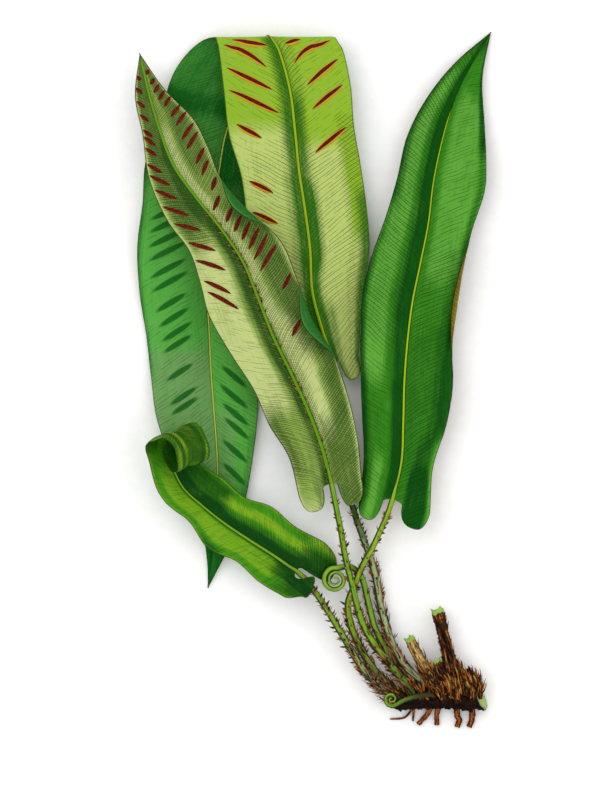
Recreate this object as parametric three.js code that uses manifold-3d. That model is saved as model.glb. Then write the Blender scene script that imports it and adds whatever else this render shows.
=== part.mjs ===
/**
 * Harts tongue fern, one whole plant: four strap-shaped fronds, two croziers and four old
 * leaf-stalk stubs on one short rhizome, lifted with its cut roots and laid on a flat surface.
 *
 * Millimetres, +Z up. The origin is on the surface, on the small flat spot under the rhizome,
 * and the fronds lie away from it towards +Y.
 */
import * as THREE from 'three';
import { mergeVertices } from 'three/addons/utils/BufferGeometryUtils.js';
import Module from 'manifold-3d';

const wasm = await Module();
wasm.setup();

// ---------------------------------------------------------------- driving dimensions

const BLADE_THICKNESS = 0.8;
const SINUS_RISE = 2; // how far above the junction the two base lobes meet the midrib
/** The midrib: radius where it meets the stalk, how far it stands out at base and tip. */
const MIDRIB = { radius: 1.3, halfWidth: 1.2, base: 1.1, tip: 0.3, sides: 6, foot: [0, 0.2, 0.5] };
const STALK = { base: 2.1, top: 1.35, sides: 8, ringLength: 7 };
const SEAT_GAP = 0.35; // between a stalk and its blade, and round it in the rhizome
/** A sorus; shorter is the share of its length by which it may be drawn short. */
const SORUS = { height: 0.7, sunk: 0.4, tipShare: 0.15, sides: 3, shorter: 0.15 };
/** A chaffy scale; seat is how deep its root sits, as a share of the stem's radius. */
const SCALE = { width: 0.55, thickness: 0.3, sunk: 0.6, clearance: 0.4, tries: 6, seat: 0.88 };

/** Shares of the half-width, midrib to margin, at which a blade has points beside its midrib. */
const COLUMNS = [0, 0.34, 0.6, 0.88, 0.94, 1];
/** The same points where the margin is turned over: shares of the flat part, then of the turn. */
const FLAT_COLUMNS = [0, 0.4, 0.72, 1];
const TURN_COLUMNS = [0.55, 1];
const TURN_BEND_SHARE = 0.55; // of the turned strip that is bent, the rest is straight
const LOBE_COLUMNS = [0, 0.15, 0.35, 0.6, 0.8, 0.92, 1];
const LOBE_ANGLES = [7, 24, 46, 70]; // from a base lobe's lower end to its broadest place
const LOBE_ROUNDNESS = 0.72; // 1 would make a lobe half an ellipse, less makes its end blunter
const CAMBER_FULL_AT = 15; // half-width from which a blade has its full camber
const CAMBER_ARC = 0.8 * Math.PI; // of a sine arch, from the midrib to the margin
const LOBE_LIFT_POWER = 1.2;

// Each station of a blade is a place on its midrib and the blade across it there:
// x, y, z, bearing of the right-hand half in degrees, its tilt in degrees, and the half-widths
// to the left and to the right. Stations run from the junction with the stalk to the tip. A blade's
// face is the side that its camber, turns and lifts rise to; underside is 1 where that is its
// underside, which carries the midrib and the sori, and -1 where it is its upper side. The sori of
// a row are at the given stations; outer and inner are the shares of the half-width at which the
// first and the last of them start and stop.

/** The mature frond on the right, upper side showing, right margin turned up for a stretch. */
const RIGHT_FROND = {
  rowLength: 0.75,
  stations: [
    [-24.5, 98.5, 11, -14, 0, 16, 20],
    [-19.5, 118.5, 12, -8, -2, 19, 16],
    [-18.5, 138.5, 12, -3, -4, 20.5, 21.5],
    [-18, 158.5, 12, -3, -6, 22, 24],
    [-16.5, 178.5, 12, -6, -7, 24, 22.3],
    [-14, 198.5, 12, -9, -7, 25.5, 22],
    [-10, 218, 11.5, -9, -6, 24.8, 21],
    [-6, 238, 10.5, -9, -4, 21.8, 22],
    [-3.5, 258, 9, -9, -2, 18.3, 25.9],
    [0.5, 277.5, 7, -14, 0, 17.5, 23],
    [6, 296.5, 5, -20, 0, 13.3, 17],
    [14.5, 315, 3, -27, 0, 7.8, 7.5],
    [25.5, 334, 1, -30, 0, 0, 0],
  ],
  camber: 3,
  underside: -1,
  lobes: {
    left: { length: 11.2, centre: 10, gap: 4.3, over: 0, lift: 0 },
    right: { length: 9, centre: 14, gap: 5.6, over: 0, lift: 0 },
  },
  waves: { left: { height: 1.2, per: 0.3, phase: 0.4 }, right: { height: 1.6, per: 0.34, phase: 2 } },
  turns: [{ side: 'right', at: 5.2, reach: 2, width: 5.6, angle: 150 }],
  sori: [],
};

/** The fertile frond in front, underside showing, its right margin turned up in two places. */
const FRONT_FROND = {
  rowLength: 0.75,
  stations: [
    [-54, 106.5, 20, 14, 0, 17.2, 15.3],
    [-59, 126, 22.5, 16, 0, 17.2, 18.5],
    [-66, 145, 24, 22, 0, 20.8, 21.3],
    [-74.5, 163.5, 24, 25, 0, 20.5, 23],
    [-83.5, 182, 24, 24, 0, 23, 21],
    [-91, 201, 24, 22, 0, 26, 21.5],
    [-98.5, 219, 24, 28, 0, 24, 21.5],
    [-109.5, 235.5, 24, 36, 0, 19.5, 16],
    [-121.5, 250.5, 23.5, 37, 0, 18.5, 15.5],
    [-133, 267, 22, 28, 0, 14, 19.5],
    [-140, 285, 20, 19, 0, 9, 17.5],
    [-145.5, 303.5, 17, 15, 0, 7, 8],
    [-150, 323, 14, 13, 0, 0, 0],
  ],
  camber: -3,
  underside: 1,
  sorusHalfWidth: 1.15,
  lobes: {
    left: { length: 10.6, centre: 11, gap: 4.5, over: 0, lift: 0 },
    right: { length: 11.6, centre: 7, gap: 3, over: 0, lift: 0 },
  },
  waves: { left: { height: 1.6, per: 0.3, phase: 0 }, right: { height: 1.5, per: 0.31, phase: 1.2 } },
  turns: [
    { side: 'right', at: 3.9, reach: 1.4, width: 10.3, angle: 150 },
    { side: 'right', at: 7.2, reach: 1.1, width: 9, angle: 150 },
  ],
  sori: [
    {
      side: 'left', outer: [0.87, 0.9], inner: [0.4, 0.48], slant: 54,
      at: [5.3, 5.7, 6.35, 6.9, 7.55, 8.05, 8.5, 8.85, 9.15, 9.55, 9.8, 10, 10.4, 10.75, 11.1, 11.4],
    },
    { side: 'right', outer: [0.76, 0.92], inner: [0.38, 0.54], slant: 40, at: [3.95, 5.1] },
    {
      side: 'right', outer: [0.87, 0.66], inner: [0.24, 0.16], slant: 32,
      at: [5.8, 6.1, 6.35, 6.6, 6.85, 7.15, 7.6],
    },
    {
      side: 'right', outer: [0.92, 0.92], inner: [0.46, 0.44], slant: 38,
      at: [8.05, 8.55, 8.9, 9.4, 9.7, 10.1, 10.35],
    },
    {
      side: 'right', outer: [0.88, 0.74], inner: [0.44, 0.14], slant: 44,
      at: [10.65, 10.85, 11.05, 11.25, 11.5],
    },
  ],
};

/** Where the back frond is folded over, and how far along the fold holds the blade straight. */
const FOLD = { at: 10, reach: 1.6, hold: 0.9 };

/**
 * The long fertile frond at the back: it rises with its underside showing, folds over and comes
 * down again beneath itself with its upper side showing.
 */
const BACK_FROND = {
  rowLength: 0.75,
  stations: [
    [-52.5, 167, 11.5, 22, 0, 15, 12.5],
    [-59, 185, 12.5, 19, -6, 21, 21],
    [-64, 204.5, 13, 9, -6, 27, 27],
    [-65, 224.5, 13, 5, -6, 30, 30],
    [-67.5, 244.5, 13.5, 8, -4, 29.5, 31],
    [-70.5, 264.5, 14, 6, -2, 29, 31],
    [-72.5, 284.5, 14.5, 4, 0, 33, 29.5],
    [-75, 304.5, 14.8, 2, 0, 33, 30.5],
    [-80, 323, 14.7, 0, 0, 30.3, 32],
    [-83.5, 329, 13.4, 0, 0, 28, 32.5],
    [-86, 331.3, 8.7, 0, 0, 27, 32.5],
    [-88, 329, 4, 0, 0, 32, 30],
    [-91.5, 320, 2.8, 0, 0, 37.5, 27.5],
    [-99.5, 302, 3, -8, 0, 36.5, 25],
    [-107, 283.5, 3, -12, 0, 33, 26],
    [-110.5, 264, 3, -9, 0, 37, 27.5],
    [-113.5, 244, 3, -7, -3, 35.5, 27.5],
    [-115.5, 224, 3, -4, -5, 36, 27],
    [-116.5, 204, 3, 0, -6, 33.5, 26],
    [-115.5, 184, 3, 3, -6, 31, 25],
    [-114.5, 164, 3, 3.5, -5, 30, 23.5],
    [-113, 144, 3, 4, -3, 29, 22],
    [-111.5, 124, 3, 3, 0, 24, 18.5],
    [-111, 104, 3, -1, 0, 17, 14.5],
    [-112.5, 85, 3, -6, 0, 7, 11],
    [-114.5, 70, 2.2, -7, 0, 2, 5.5],
    [-116, 56, 0.8, -6, 0, 0, 0],
  ],
  camber: -2.7,
  underside: 1,
  sorusHalfWidth: 1.7,
  lobes: {
    left: { length: 9, centre: 8, gap: 4, over: 0, lift: 0 },
    right: { length: 10, centre: 6, gap: 2.6, over: 0, lift: 0 },
  },
  waves: { left: { height: 1, per: 0.27, phase: 1 }, right: { height: 1.3, per: 0.29, phase: 2.6 } },
  turns: [{ side: 'left', at: 18.8, reach: 2.4, width: 9, angle: 55 }],
  calm: (t) => 1 - FOLD.hold * Math.exp(-(((t - FOLD.at) / FOLD.reach) ** 2)),
  sori: [
    { side: 'left', outer: [0.89, 0.87], inner: [0.42, 0.46], slant: 31, at: [3.95, 4.7, 6.05] },
    { side: 'left', outer: [0.91, 0.89], inner: [0.18, 0.26], slant: 27, at: [6.75, 7.3] },
    { side: 'left', outer: [0.87, 0.7], inner: [0.2, 0.1], slant: 46, at: [8.05, 8.9] },
    { side: 'right', outer: [0.87, 0.9], inner: [0.3, 0.18], slant: 34, at: [5.7, 6.8, 7.45] },
    { side: 'right', outer: [0.9, 0.45], inner: [0.14, 0.12], slant: 50, at: [8.4, 9] },
    {
      side: 'left', outer: [0.84, 0.68], inner: [0.36, 0.26], slant: 28,
      at: [16.1, 16.4, 16.75, 17.05, 17.45, 17.75, 18.25, 18.6, 18.95, 19.25, 19.95, 20.55, 20.8],
    },
    {
      side: 'right', outer: [0.7, 0.78], inner: [0.2, 0.22], slant: 44,
      at: [20.15, 20.65, 21.1, 21.45, 22, 22.55],
    },
  ],
};

/** The young frond at the lower left, upper side showing, its tip still rolled up. */
const YOUNG_FROND = {
  rowLength: 0.5,
  stations: [
    [-70.5, 63.5, 12.5, 55, 0, 14, 20],
    [-82.5, 72, 13, 56, 0, 15, 18],
    [-95, 80, 13, 57, 0, 12.5, 20],
    [-107, 88, 13, 54, 0, 15, 16.5],
    [-118.5, 97, 13.5, 50, -5, 10.5, 17],
    [-129, 107, 15, 40, -18, 12.5, 16],
  ],
  camber: 3,
  underside: -1,
  lobes: {
    left: { length: 10, centre: 4.5, gap: 2.6, over: 6, lift: 9 },
    right: { length: 15, centre: 6, gap: 3, over: 0, lift: -9 },
  },
  waves: { left: { height: 1.8, per: 0.5, phase: 0 }, right: { height: 1.8, per: 0.5, phase: 2 } },
  turns: [],
  sori: [],
};

/**
 * The scroll at the young frond's tip: it winds up and back over the upper side, round an axis
 * whose bearing and tilt are those of the blade's right-hand half there.
 */
const SCROLL = {
  start: [-135.3, 121.7, 17],
  bearing: 20,
  tilt: -38,
  radius: 10.5,
  tightening: 0.658, // radius lost for each radian wound
  stepDegrees: 60,
  swell: 0.8, // how far both halves bulge outwards, as a share of the flat blade's camber
  // left and right half-width at each step, from the start of the scroll to the tip
  widths: [[13, 14], [13.5, 12.5], [12, 12], [10.5, 11.5], [9, 10.5], [7.5, 9], [6, 7.5], [4.8, 6],
    [3.4, 4.4], [0, 0]],
};

// Stalks, from the end that sits in the rhizome to the blade.
const RIGHT_STALK = [
  [-18, 3, 3.5], [-20, 4, 3.5], [-28.5, 10, 3.8], [-36, 19.5, 4.2], [-41.5, 29.5, 5], [-45, 39, 6.5],
  [-46, 48.5, 8.5], [-43, 57, 10], [-39, 67, 10], [-34, 76, 10], [-30.5, 83.5, 10.4],
  [-27, 91.5, 10.8], [-24.5, 98.5, 11],
];
const FRONT_STALK = [
  [-12, 3, 8.5], [-15, 7, 9.8], [-21.5, 13.5, 11.3], [-28, 21.5, 12], [-34.5, 30.5, 13],
  [-39, 39, 14], [-42, 49, 15], [-44.5, 60, 15.5], [-47.5, 72, 16], [-49.5, 84, 17.5],
  [-52, 96.5, 19], [-54, 106.5, 20],
];
const BACK_STALK = [
  [-4, 4, 6.5], [-9, 9.5, 7.2], [-17.2, 16.5, 7.5], [-22.5, 25.5, 6.4], [-26.6, 35.5, 5.2],
  [-29.6, 46.5, 4.4], [-31.5, 57.5, 4], [-34.5, 70, 4.2], [-39, 82.5, 5], [-43.5, 96, 6.5],
  [-46, 110, 8], [-48.5, 130, 10], [-50, 150, 11], [-52.5, 167, 11.5],
];
const YOUNG_STALK = [
  [-20, 2.5, 7.5], [-26, 3.5, 8], [-35, 11.5, 9], [-41.5, 20, 9.8], [-47, 29.5, 10.5],
  [-53, 39.5, 10.5], [-59, 49, 10.6], [-65, 57.5, 11], [-70.5, 63.5, 12.5],
];

/**
 * Croziers: the stem, then a flat coil that the stem runs into, wound inwards. The band of the
 * coil thins with it: its radius is a share, band, of the coil's radius at that place.
 */
const TALL_CROZIER = {
  stem: [
    [-8, 3, 3.8], [-11, 7, 3.2], [-16.5, 13, 3.2], [-23, 20, 3.2], [-28, 27.5, 3.2], [-32.5, 36, 3.2],
    [-35, 45, 3.2], [-37, 53.5, 4], [-38.5, 59.5, 4.5], [-41.5, 64.5, 5.6],
    [-46, 67, 9.6],
  ],
  radius: [1.9, 1.5],
  coil: { centre: [-52.4, 60.3, 11], radius: 6.1, pitch: 2.4, turns: 2.15, from: 75, way: 1, band: 0.25 },
};
const LOW_CROZIER = {
  stem: [[-3, 2, 8], [-5, 3, 11.5], [-12, 2.2, 12.8], [-18.5, 0, 12.9]],
  radius: [1.3, 1.2],
  coil: { centre: [-24.4, 0.8, 12.7], radius: 3.7, pitch: 2, turns: 1.65, from: -50, way: -1, band: 0.29 },
};
const CROZIER_SIDES = 6;
const COIL_POINTS = 9; // in each turn
const COIL_BAND_MIN = 0.4;

/** Stubs of old leaf stalks: x, y, z and radius, from the rhizome to the broken top. */
const OLD_STUBS = {
  old_stipe_tan: [[1, 3, 8, 1.8], [-2, 9, 10, 2.4], [-7, 16, 10.5, 2.7], [-12, 24, 10.5, 2.6],
    [-15.5, 31.5, 11, 2.6]],
  old_stipe_tall: [[11, 2, 5.5, 2.2], [9, 7, 6, 3], [6, 15, 7, 3.3], [3.5, 25, 7, 3],
    [1, 35, 7, 2.8], [-1.5, 45.5, 7.6, 3.2]],
  old_stipe_small: [[5.3, 3, 9.5, 1.6], [3.8, 8.5, 11.2, 1.8], [1.3, 14, 12.3, 2], [-1.7, 20, 12.8, 2.1]],
  old_stipe_rear: [[17.5, 0.5, 6, 2], [17.4, 5, 6, 2.4], [15.8, 10, 6.6, 2.3], [13, 15.5, 7, 2]],
};
const STUB_SIDES = 8;

/** The rhizome: x, y, z and radius along its axis, from the growing end to the cut end. */
const RHIZOME = [
  [-27, -1, 4.2, 2], [-21, -0.6, 4.4, 4.2], [-14, 0.6, 4.3, 5], [-5, 1.2, 4.2, 5.3],
  [5, 1.2, 4.2, 5.3], [14, 0.6, 4.6, 5.5], [20.5, 0.6, 5, 5], [26, 0, 5.4, 4.5],
];
const RHIZOME_SIDES = 12;
const RHIZOME_ROUGHNESS = 0.1;
const RHIZOME_RING_LENGTH = 6;
/** The slanting cut at the old end: a point on it and the way it faces. */
const RHIZOME_CUT = { at: [21, 0.3, 5], faces: [0.88, 0.3, 0.36] };

/** Roots, cut short: x, y, z and radius from inside the rhizome to the cut end. */
const ROOTS = [
  [[-13.5, -2, 3, 0.7], [-15, -6, 1.6, 0.6], [-18.5, -9, 0.7, 0.5], [-25, -9.5, 0.5, 0.4]],
  [[-13, -3, 2.6, 0.7], [-13.2, -7, 1.2, 0.6], [-13.5, -10.5, 0.6, 0.45]],
  [[-4, -1, 3, 1.4], [-6, -6.5, 1.8, 1.3], [-10, -11, 1.2, 1.2], [-11, -12.2, 1.1, 1.1]],
  [[0.5, -1, 3, 1.4], [-1.5, -6.5, 1.8, 1.3], [-1.5, -12.5, 1.1, 1.2]],
  [[8.5, -2, 3, 1.6], [8.5, -7.5, 1.9, 1.5], [9.5, -10, 1.5, 1.5], [8.5, -13.5, 1.3, 1.4]],
  [[16, -3, 3, 1.6], [16, -9, 1.7, 1.5], [14.5, -13.5, 1.3, 1.4]],
];
const ROOT_SIDES = 7;
const ROOT_RING_LENGTH = 4;

/** Bases of leaves long gone, grown on to the rhizome among the stalks, worn to a point. */
const LEAF_BASES = [
  [[-18, 1, 7, 2], [-22, 4, 10.5, 1.6], [-27, 8.5, 12, 0.6]],
  [[-12, 2, 7, 2], [-15.5, 7, 6, 1.7], [-20.5, 12, 7, 0.7]],
  [[-9, 0, 7.5, 2], [-10.5, 5, 11.5, 1.8], [-15, 10, 13.5, 0.6]],
  [[-4, 3, 8, 2.2], [-6.5, 10, 12, 1.8], [-11, 17, 13, 0.7]],
  [[1, 4, 8, 2], [-2, 12, 13, 1.8], [-5.5, 19, 13.5, 0.7]],
  [[2, 0, 8, 2], [0.5, 5, 12, 1.8], [-3, 10, 14, 0.7]],
  [[6, 4, 8, 2], [4.5, 12, 11, 1.7], [2.5, 20, 11, 0.7]],
  [[9, 0, 8, 2.2], [8, 5, 12, 1.8], [5.5, 11, 13.5, 0.6]],
  [[11, 3, 8, 2.2], [10.5, 10, 9.5, 1.9], [7.5, 19, 8.5, 0.7]],
  [[14, 3, 8, 2.2], [13.5, 9, 10.5, 1.8], [10.5, 17, 9.5, 0.7]],
  [[16, 0, 8, 2], [16, 5, 11, 1.7], [14, 11, 11.5, 0.6]],
  [[19, 1, 7, 2.2], [19.5, 7, 8, 1.8], [17.5, 14, 7.5, 0.6]],
];
const LEAF_BASE_SIDES = 6;
const LEAF_BASE_RING_LENGTH = 7;

/**
 * Chaffy scales on a stem: how many, their length at its base and at its top, where they start
 * and stop, how far they lean along it, and how much they crowd towards its base.
 */
const STALK_SCALES = {
  count: 30, length: [5.5, 2.2], fromBase: 7, belowBlade: 12, lean: 0.7, crowding: 1.6,
};
const STUB_SCALES = {
  count: 12, length: [6, 3.5], fromBase: 6, belowBlade: 4, lean: 1.6, crowding: 1.2,
};
/** Chaff over the crown: where it starts and stops along the rhizome in millimetres and round it. */
const CHAFF = {
  count: 50, length: [5, 11], lean: [-0.75, 1, 0.25], fromEnd: 2, beforeEnd: 9, round: [-20, 200],
};

const COLOURS = {
  blade_upper: 0x3f8f2c,
  blade_under: 0xa5bf63,
  stalk: 0x8fae4a,
  crozier: 0x7fb43a,
  rhizome: 0x3a2417,
  stub_tan: 0xb98a4e,
  stub_dark: 0x4a2d1a,
};

// ---------------------------------------------------------------- numbers and vectors

const UP = new THREE.Vector3(0, 0, 1);
const vector = ([x, y, z]) => new THREE.Vector3(x, y, z);
const radians = THREE.MathUtils.degToRad;
const lerp = THREE.MathUtils.lerp;

/** A point moved along several directions, each given with its distance. */
function moved(point, ...steps) {
  const place = point.clone();
  steps.forEach(([direction, distance]) => place.addScaledVector(direction, distance));
  return place;
}

/** Seeded random numbers from 0 to 1, the same on every run. */
function seeded(seed) {
  let state = seed;
  return () => {
    state = (state + 0x6d2b79f5) | 0;
    let mixed = Math.imul(state ^ (state >>> 15), 1 | state);
    mixed = (mixed + Math.imul(mixed ^ (mixed >>> 7), 61 | mixed)) ^ mixed;
    return ((mixed ^ (mixed >>> 14)) >>> 0) / 2 ** 32;
  };
}

/** The row of values at place t of a list of rows, on a smooth curve through all of them. */
function rowAt(rows, t) {
  const last = rows.length - 1;
  if (t < 0) {
    return rows[0].map((value, i) => value + (rows[1][i] - value) * t);
  }
  const index = Math.min(Math.floor(t), last - 1);
  const s = t - index;
  const [b, c] = [rows[index], rows[index + 1]];
  const a = index > 0 ? rows[index - 1] : b.map((value, i) => 2 * value - c[i]);
  const d = index + 2 <= last ? rows[index + 2] : c.map((value, i) => 2 * value - b[i]);
  return b.map((value, i) => {
    const slope = (c[i] - a[i]) / 2;
    const nextSlope = (d[i] - value) / 2;
    const rise = c[i] - value;
    const bend = 3 * rise - 2 * slope - nextSlope;
    const twist = slope + nextSlope - 2 * rise;
    return value + s * (slope + s * (bend + s * twist));
  });
}

// ---------------------------------------------------------------- solids

/** A solid from shared points and the triangles between them. */
function solidOf(points, triangles) {
  const vertProperties = new Float32Array(points.flatMap((point) => point.toArray()));
  const triVerts = new Uint32Array(triangles.flat());
  return new wasm.Manifold(new wasm.Mesh({ numProp: 3, vertProperties, triVerts }));
}

/** A solid from a closed three.js geometry, by its positions alone. */
function solidFrom(geometry) {
  const bare = geometry.clone();
  bare.deleteAttribute('normal');
  bare.deleteAttribute('uv');
  const merged = mergeVertices(bare);
  const vertProperties = new Float32Array(merged.attributes.position.array);
  const triVerts = new Uint32Array(merged.index.array);
  return new wasm.Manifold(new wasm.Mesh({ numProp: 3, vertProperties, triVerts }));
}

/** All the solids joined in one. */
function joined(solids) {
  return solids.reduce((whole, solid) => whole.add(solid));
}

/**
 * A closed skin over rings, each { centre, across, up, wide, high }: ring point k stands at
 * angle start + 2 pi k / sides, wide along across and high along up, and both ends are flat.
 */
function sweep(rings, sides, { start = 0, roughness = () => 1 } = {}) {
  const points = [];
  rings.forEach(({ centre, across, up, wide, high }, i) => {
    for (let k = 0; k < sides; k += 1) {
      const angle = start + (2 * Math.PI * k) / sides;
      const swell = roughness(i, k);
      const [out, rise] = [wide * swell * Math.cos(angle), high * swell * Math.sin(angle)];
      points.push(moved(centre, [across, out], [up, rise]));
    }
  });
  const triangles = [];
  for (let i = 0; i + 1 < rings.length; i += 1) {
    for (let k = 0; k < sides; k += 1) {
      const [a, b] = [i * sides + k, i * sides + ((k + 1) % sides)];
      triangles.push([a, b, b + sides], [a, b + sides, a + sides]);
    }
  }
  const end = (rings.length - 1) * sides;
  for (let k = 1; k + 1 < sides; k += 1) {
    triangles.push([0, k + 1, k], [end, end + k, end + k + 1]);
  }
  return solidOf(points, triangles);
}

/** The ring square to a direction, with one side kept level. */
function levelRing(centre, along, radius) {
  const across = new THREE.Vector3().crossVectors(UP, along).normalize();
  const up = new THREE.Vector3().crossVectors(along, across).normalize();
  return { centre, across, up, wide: radius, high: radius };
}

/** Rings about every ringLength along a smooth path through rows of x, y, z and radius. */
function ringsAlong(rows, ringLength, extraRadius = 0) {
  const rings = [];
  const last = rows.length - 1;
  const tangentStep = 0.01;
  for (let i = 0; i < last; i += 1) {
    const distance = vector(rows[i]).distanceTo(vector(rows[i + 1]));
    const pieces = Math.max(1, Math.round(distance / ringLength));
    for (let k = 0; k < pieces; k += 1) {
      rings.push(i + k / pieces);
    }
  }
  rings.push(last);
  return rings.map((t) => {
    const row = rowAt(rows, t);
    const ahead = vector(rowAt(rows, Math.min(t + tangentStep, last)));
    const behind = vector(rowAt(rows, Math.max(t - tangentStep, 0)));
    return levelRing(vector(row), ahead.sub(behind).normalize(), row[3] + extraRadius);
  });
}

/** A slender three-sided scale, its broad end at the root. */
function scaleSolid(root, tip, width, thickness) {
  const along = tip.clone().sub(root).normalize();
  const across = new THREE.Vector3().crossVectors(UP, along);
  if (across.lengthSq() < 0.01) {
    across.set(1, 0, 0);
  }
  across.normalize();
  const up = new THREE.Vector3().crossVectors(along, across);
  const base = [
    moved(root, [across, width], [up, -thickness]),
    moved(root, [up, thickness]),
    moved(root, [across, -width], [up, -thickness]),
  ];
  return solidOf([...base, tip], [[0, 2, 1], [0, 1, 3], [1, 2, 3], [2, 0, 3]]);
}

/** The scale, or nothing where a slightly larger one would touch an obstacle or the surface. */
function clearScale(root, tip, obstacles) {
  const { width, thickness, clearance, sunk } = SCALE;
  const along = tip.clone().sub(root).normalize();
  const sunkRoot = moved(root, [along, -sunk]);
  if (tip.z < clearance || root.z < clearance) {
    return null;
  }
  const farTip = moved(tip, [along, clearance]);
  const grown = scaleSolid(sunkRoot, farTip, width + clearance, thickness + clearance);
  const touches = obstacles.some((solid) => grown.intersect(solid).getMesh().triVerts.length > 0);
  return touches ? null : scaleSolid(sunkRoot, tip, width, thickness);
}

// ---------------------------------------------------------------- blades

/** How far each turned margin is turned at place t: 0 flat, 1 as far as it goes. */
function turnAt(frond, side, t) {
  const turns = frond.turns.filter((turn) => turn.side === side);
  const [nearest] = turns.sort((a, b) => Math.abs(a.at - t) - Math.abs(b.at - t));
  return nearest ? { ...nearest, share: Math.exp(-(((t - nearest.at) / nearest.reach) ** 2)) } : null;
}

/**
 * The section of one half of a blade at place t. A turned strip of the margin is bent on an arc
 * over its first part and straight beyond it; the half-width seen from above stays as given, so
 * the strip adds the length that the turn hides.
 */
function sectionAt(frond, side, t) {
  const row = rowAt(frond.stations, Math.max(t, 0));
  const seen = Math.max(row[side === 'left' ? 5 : 6], BLADE_THICKNESS / 2);
  const turn = turnAt(frond, side, t);
  if (!turn || turn.share < 0.02) {
    return { seen, flat: seen, width: seen, share: 0 };
  }
  const strip = turn.width * turn.share;
  const angle = radians(turn.angle) * turn.share;
  const bend = (TURN_BEND_SHARE * turn.width) / radians(turn.angle);
  const beyond = angle < Math.PI / 2
    ? bend * Math.sin(angle) + (1 - TURN_BEND_SHARE) * strip * Math.cos(angle)
    : bend;
  const flat = Math.max(seen - beyond, 0);
  return { seen, flat, width: flat + strip, share: turn.share, strip, angle, bend };
}

/** Distance out and height of the blade's middle layer at distance q along the section. */
function profileAt(section, q) {
  const beyond = q - section.flat;
  if (beyond <= 0 || !section.share) {
    return [q, 0];
  }
  const bent = Math.min(beyond / section.bend, section.angle);
  const straight = beyond - bent * section.bend;
  return [
    section.flat + section.bend * Math.sin(bent) + straight * Math.cos(bent),
    section.bend * (1 - Math.cos(bent)) + straight * Math.sin(bent),
  ];
}

/** The direction of a blade's right-hand half, from its bearing and tilt in degrees. */
function sideDirection(bearing, tilt) {
  const level = Math.cos(radians(tilt));
  return new THREE.Vector3(
    Math.cos(radians(bearing)) * level,
    Math.sin(radians(bearing)) * level,
    Math.sin(radians(tilt)),
  );
}

/** The midrib's frame at place t: its centre, the way it runs, the right-hand side, the face. */
function frameAt(frond, t) {
  const step = 0.02;
  const last = frond.stations.length - 1;
  const row = rowAt(frond.stations, t);
  const ahead = vector(rowAt(frond.stations, Math.min(t + step, last)));
  const behind = vector(rowAt(frond.stations, Math.min(t, last) - step));
  const along = ahead.sub(behind).normalize();
  const across = sideDirection(row[3], row[4]);
  const face = new THREE.Vector3().crossVectors(across, along).normalize();
  return { centre: vector(row), along, across, face };
}

/** The length of midrib from one station to the next, near the base. */
function stationLength(frond) {
  return vector(frond.stations[0]).distanceTo(vector(frond.stations[1]));
}

/** The point of the blade's middle layer on one side, at place t and distance q from the midrib. */
function surfaceAt(frond, side, t, q) {
  const { centre, across, face } = frameAt(frond, t);
  const section = sectionAt(frond, side, t);
  const share = q / section.width;
  const [out, turned] = profileAt(section, q);
  const calm = frond.calm ? frond.calm(t) : 1;
  const breadth = Math.min(1, section.seen / CAMBER_FULL_AT);
  const camber = frond.camber * Math.sin(CAMBER_ARC * share);
  const { height, per, phase } = frond.waves[side];
  const wave = height * share ** 2 * Math.sin(2 * Math.PI * per * t + phase);
  const below = Math.max(-t * stationLength(frond), 0) / frond.lobes[side].length;
  const lobeLift = frond.lobes[side].lift * below ** LOBE_LIFT_POWER;
  const lift = turned + calm * breadth * (camber + wave) + lobeLift;
  return moved(centre, [across, side === 'left' ? -out : out], [face, lift]);
}

/** The outward direction of the blade's face there, from the surface's two slopes. */
function faceAt(frond, side, t, q) {
  if (q === 0) {
    return frameAt(frond, t).face;
  }
  const [stepT, stepQ] = [0.02, 0.1];
  const alongT = surfaceAt(frond, side, t + stepT, q).sub(surfaceAt(frond, side, t - stepT, q));
  const alongQ = surfaceAt(frond, side, t, q + stepQ).sub(surfaceAt(frond, side, t, q - stepQ));
  const face = new THREE.Vector3().crossVectors(alongQ, alongT).normalize();
  return side === 'left' ? face.negate() : face;
}

/** Distances from the midrib at which a row of one half has its points. */
function columnsOf(section) {
  const flat = FLAT_COLUMNS.map((share) => share * section.flat);
  const turned = TURN_COLUMNS.map((share) => section.flat + share * (section.width - section.flat));
  const alongTurn = [...flat, ...turned];
  const [middle, ...beside] = COLUMNS.map((share, i) => (
    lerp(share * section.width, alongTurn[i], section.share)
  ));
  return [middle, Math.min(MIDRIB.halfWidth, beside[0] / 2), ...beside];
}

/**
 * The rows of one base lobe, from its lower end up to the sinus, each with its place and the
 * distances at which it starts and ends. The lobe is a blunt half-ellipse below the junction.
 */
function lobeRows(frond, side) {
  const { length, centre, gap, over } = frond.lobes[side];
  const perMillimetre = 1 / stationLength(frond);
  const outer = sectionAt(frond, side, 0).width;
  const below = LOBE_ANGLES.map(radians).map((angle) => {
    const shift = over * Math.sin(Math.PI * Math.cos(angle) ** 2);
    const breadth = Math.sin(angle) ** LOBE_ROUNDNESS;
    return {
      t: -length * Math.cos(angle) * perMillimetre,
      inner: centre - (centre - gap) * breadth - shift,
      outer: centre + (outer - centre) * breadth - shift / 2,
    };
  });
  const beside = [0, 0.8].map((share) => {
    const t = share * SINUS_RISE * perMillimetre;
    return { t, inner: gap * Math.sqrt(1 - share ** 2), outer: sectionAt(frond, side, t).width };
  });
  return [...below, ...beside];
}

/** The places along the midrib at which a blade has full rows. */
function bladePlaces(frond) {
  const last = frond.stations.length - 1;
  const first = SINUS_RISE / stationLength(frond);
  const count = Math.round((last - first) / frond.rowLength);
  return Array.from({ length: count + 1 }, (_, i) => lerp(first, last, i / count));
}

/** How far the midrib stands out of the underside at place t. */
function ribHeight(frond, t) {
  return lerp(MIDRIB.base, MIDRIB.tip, t / (frond.stations.length - 1));
}

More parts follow.
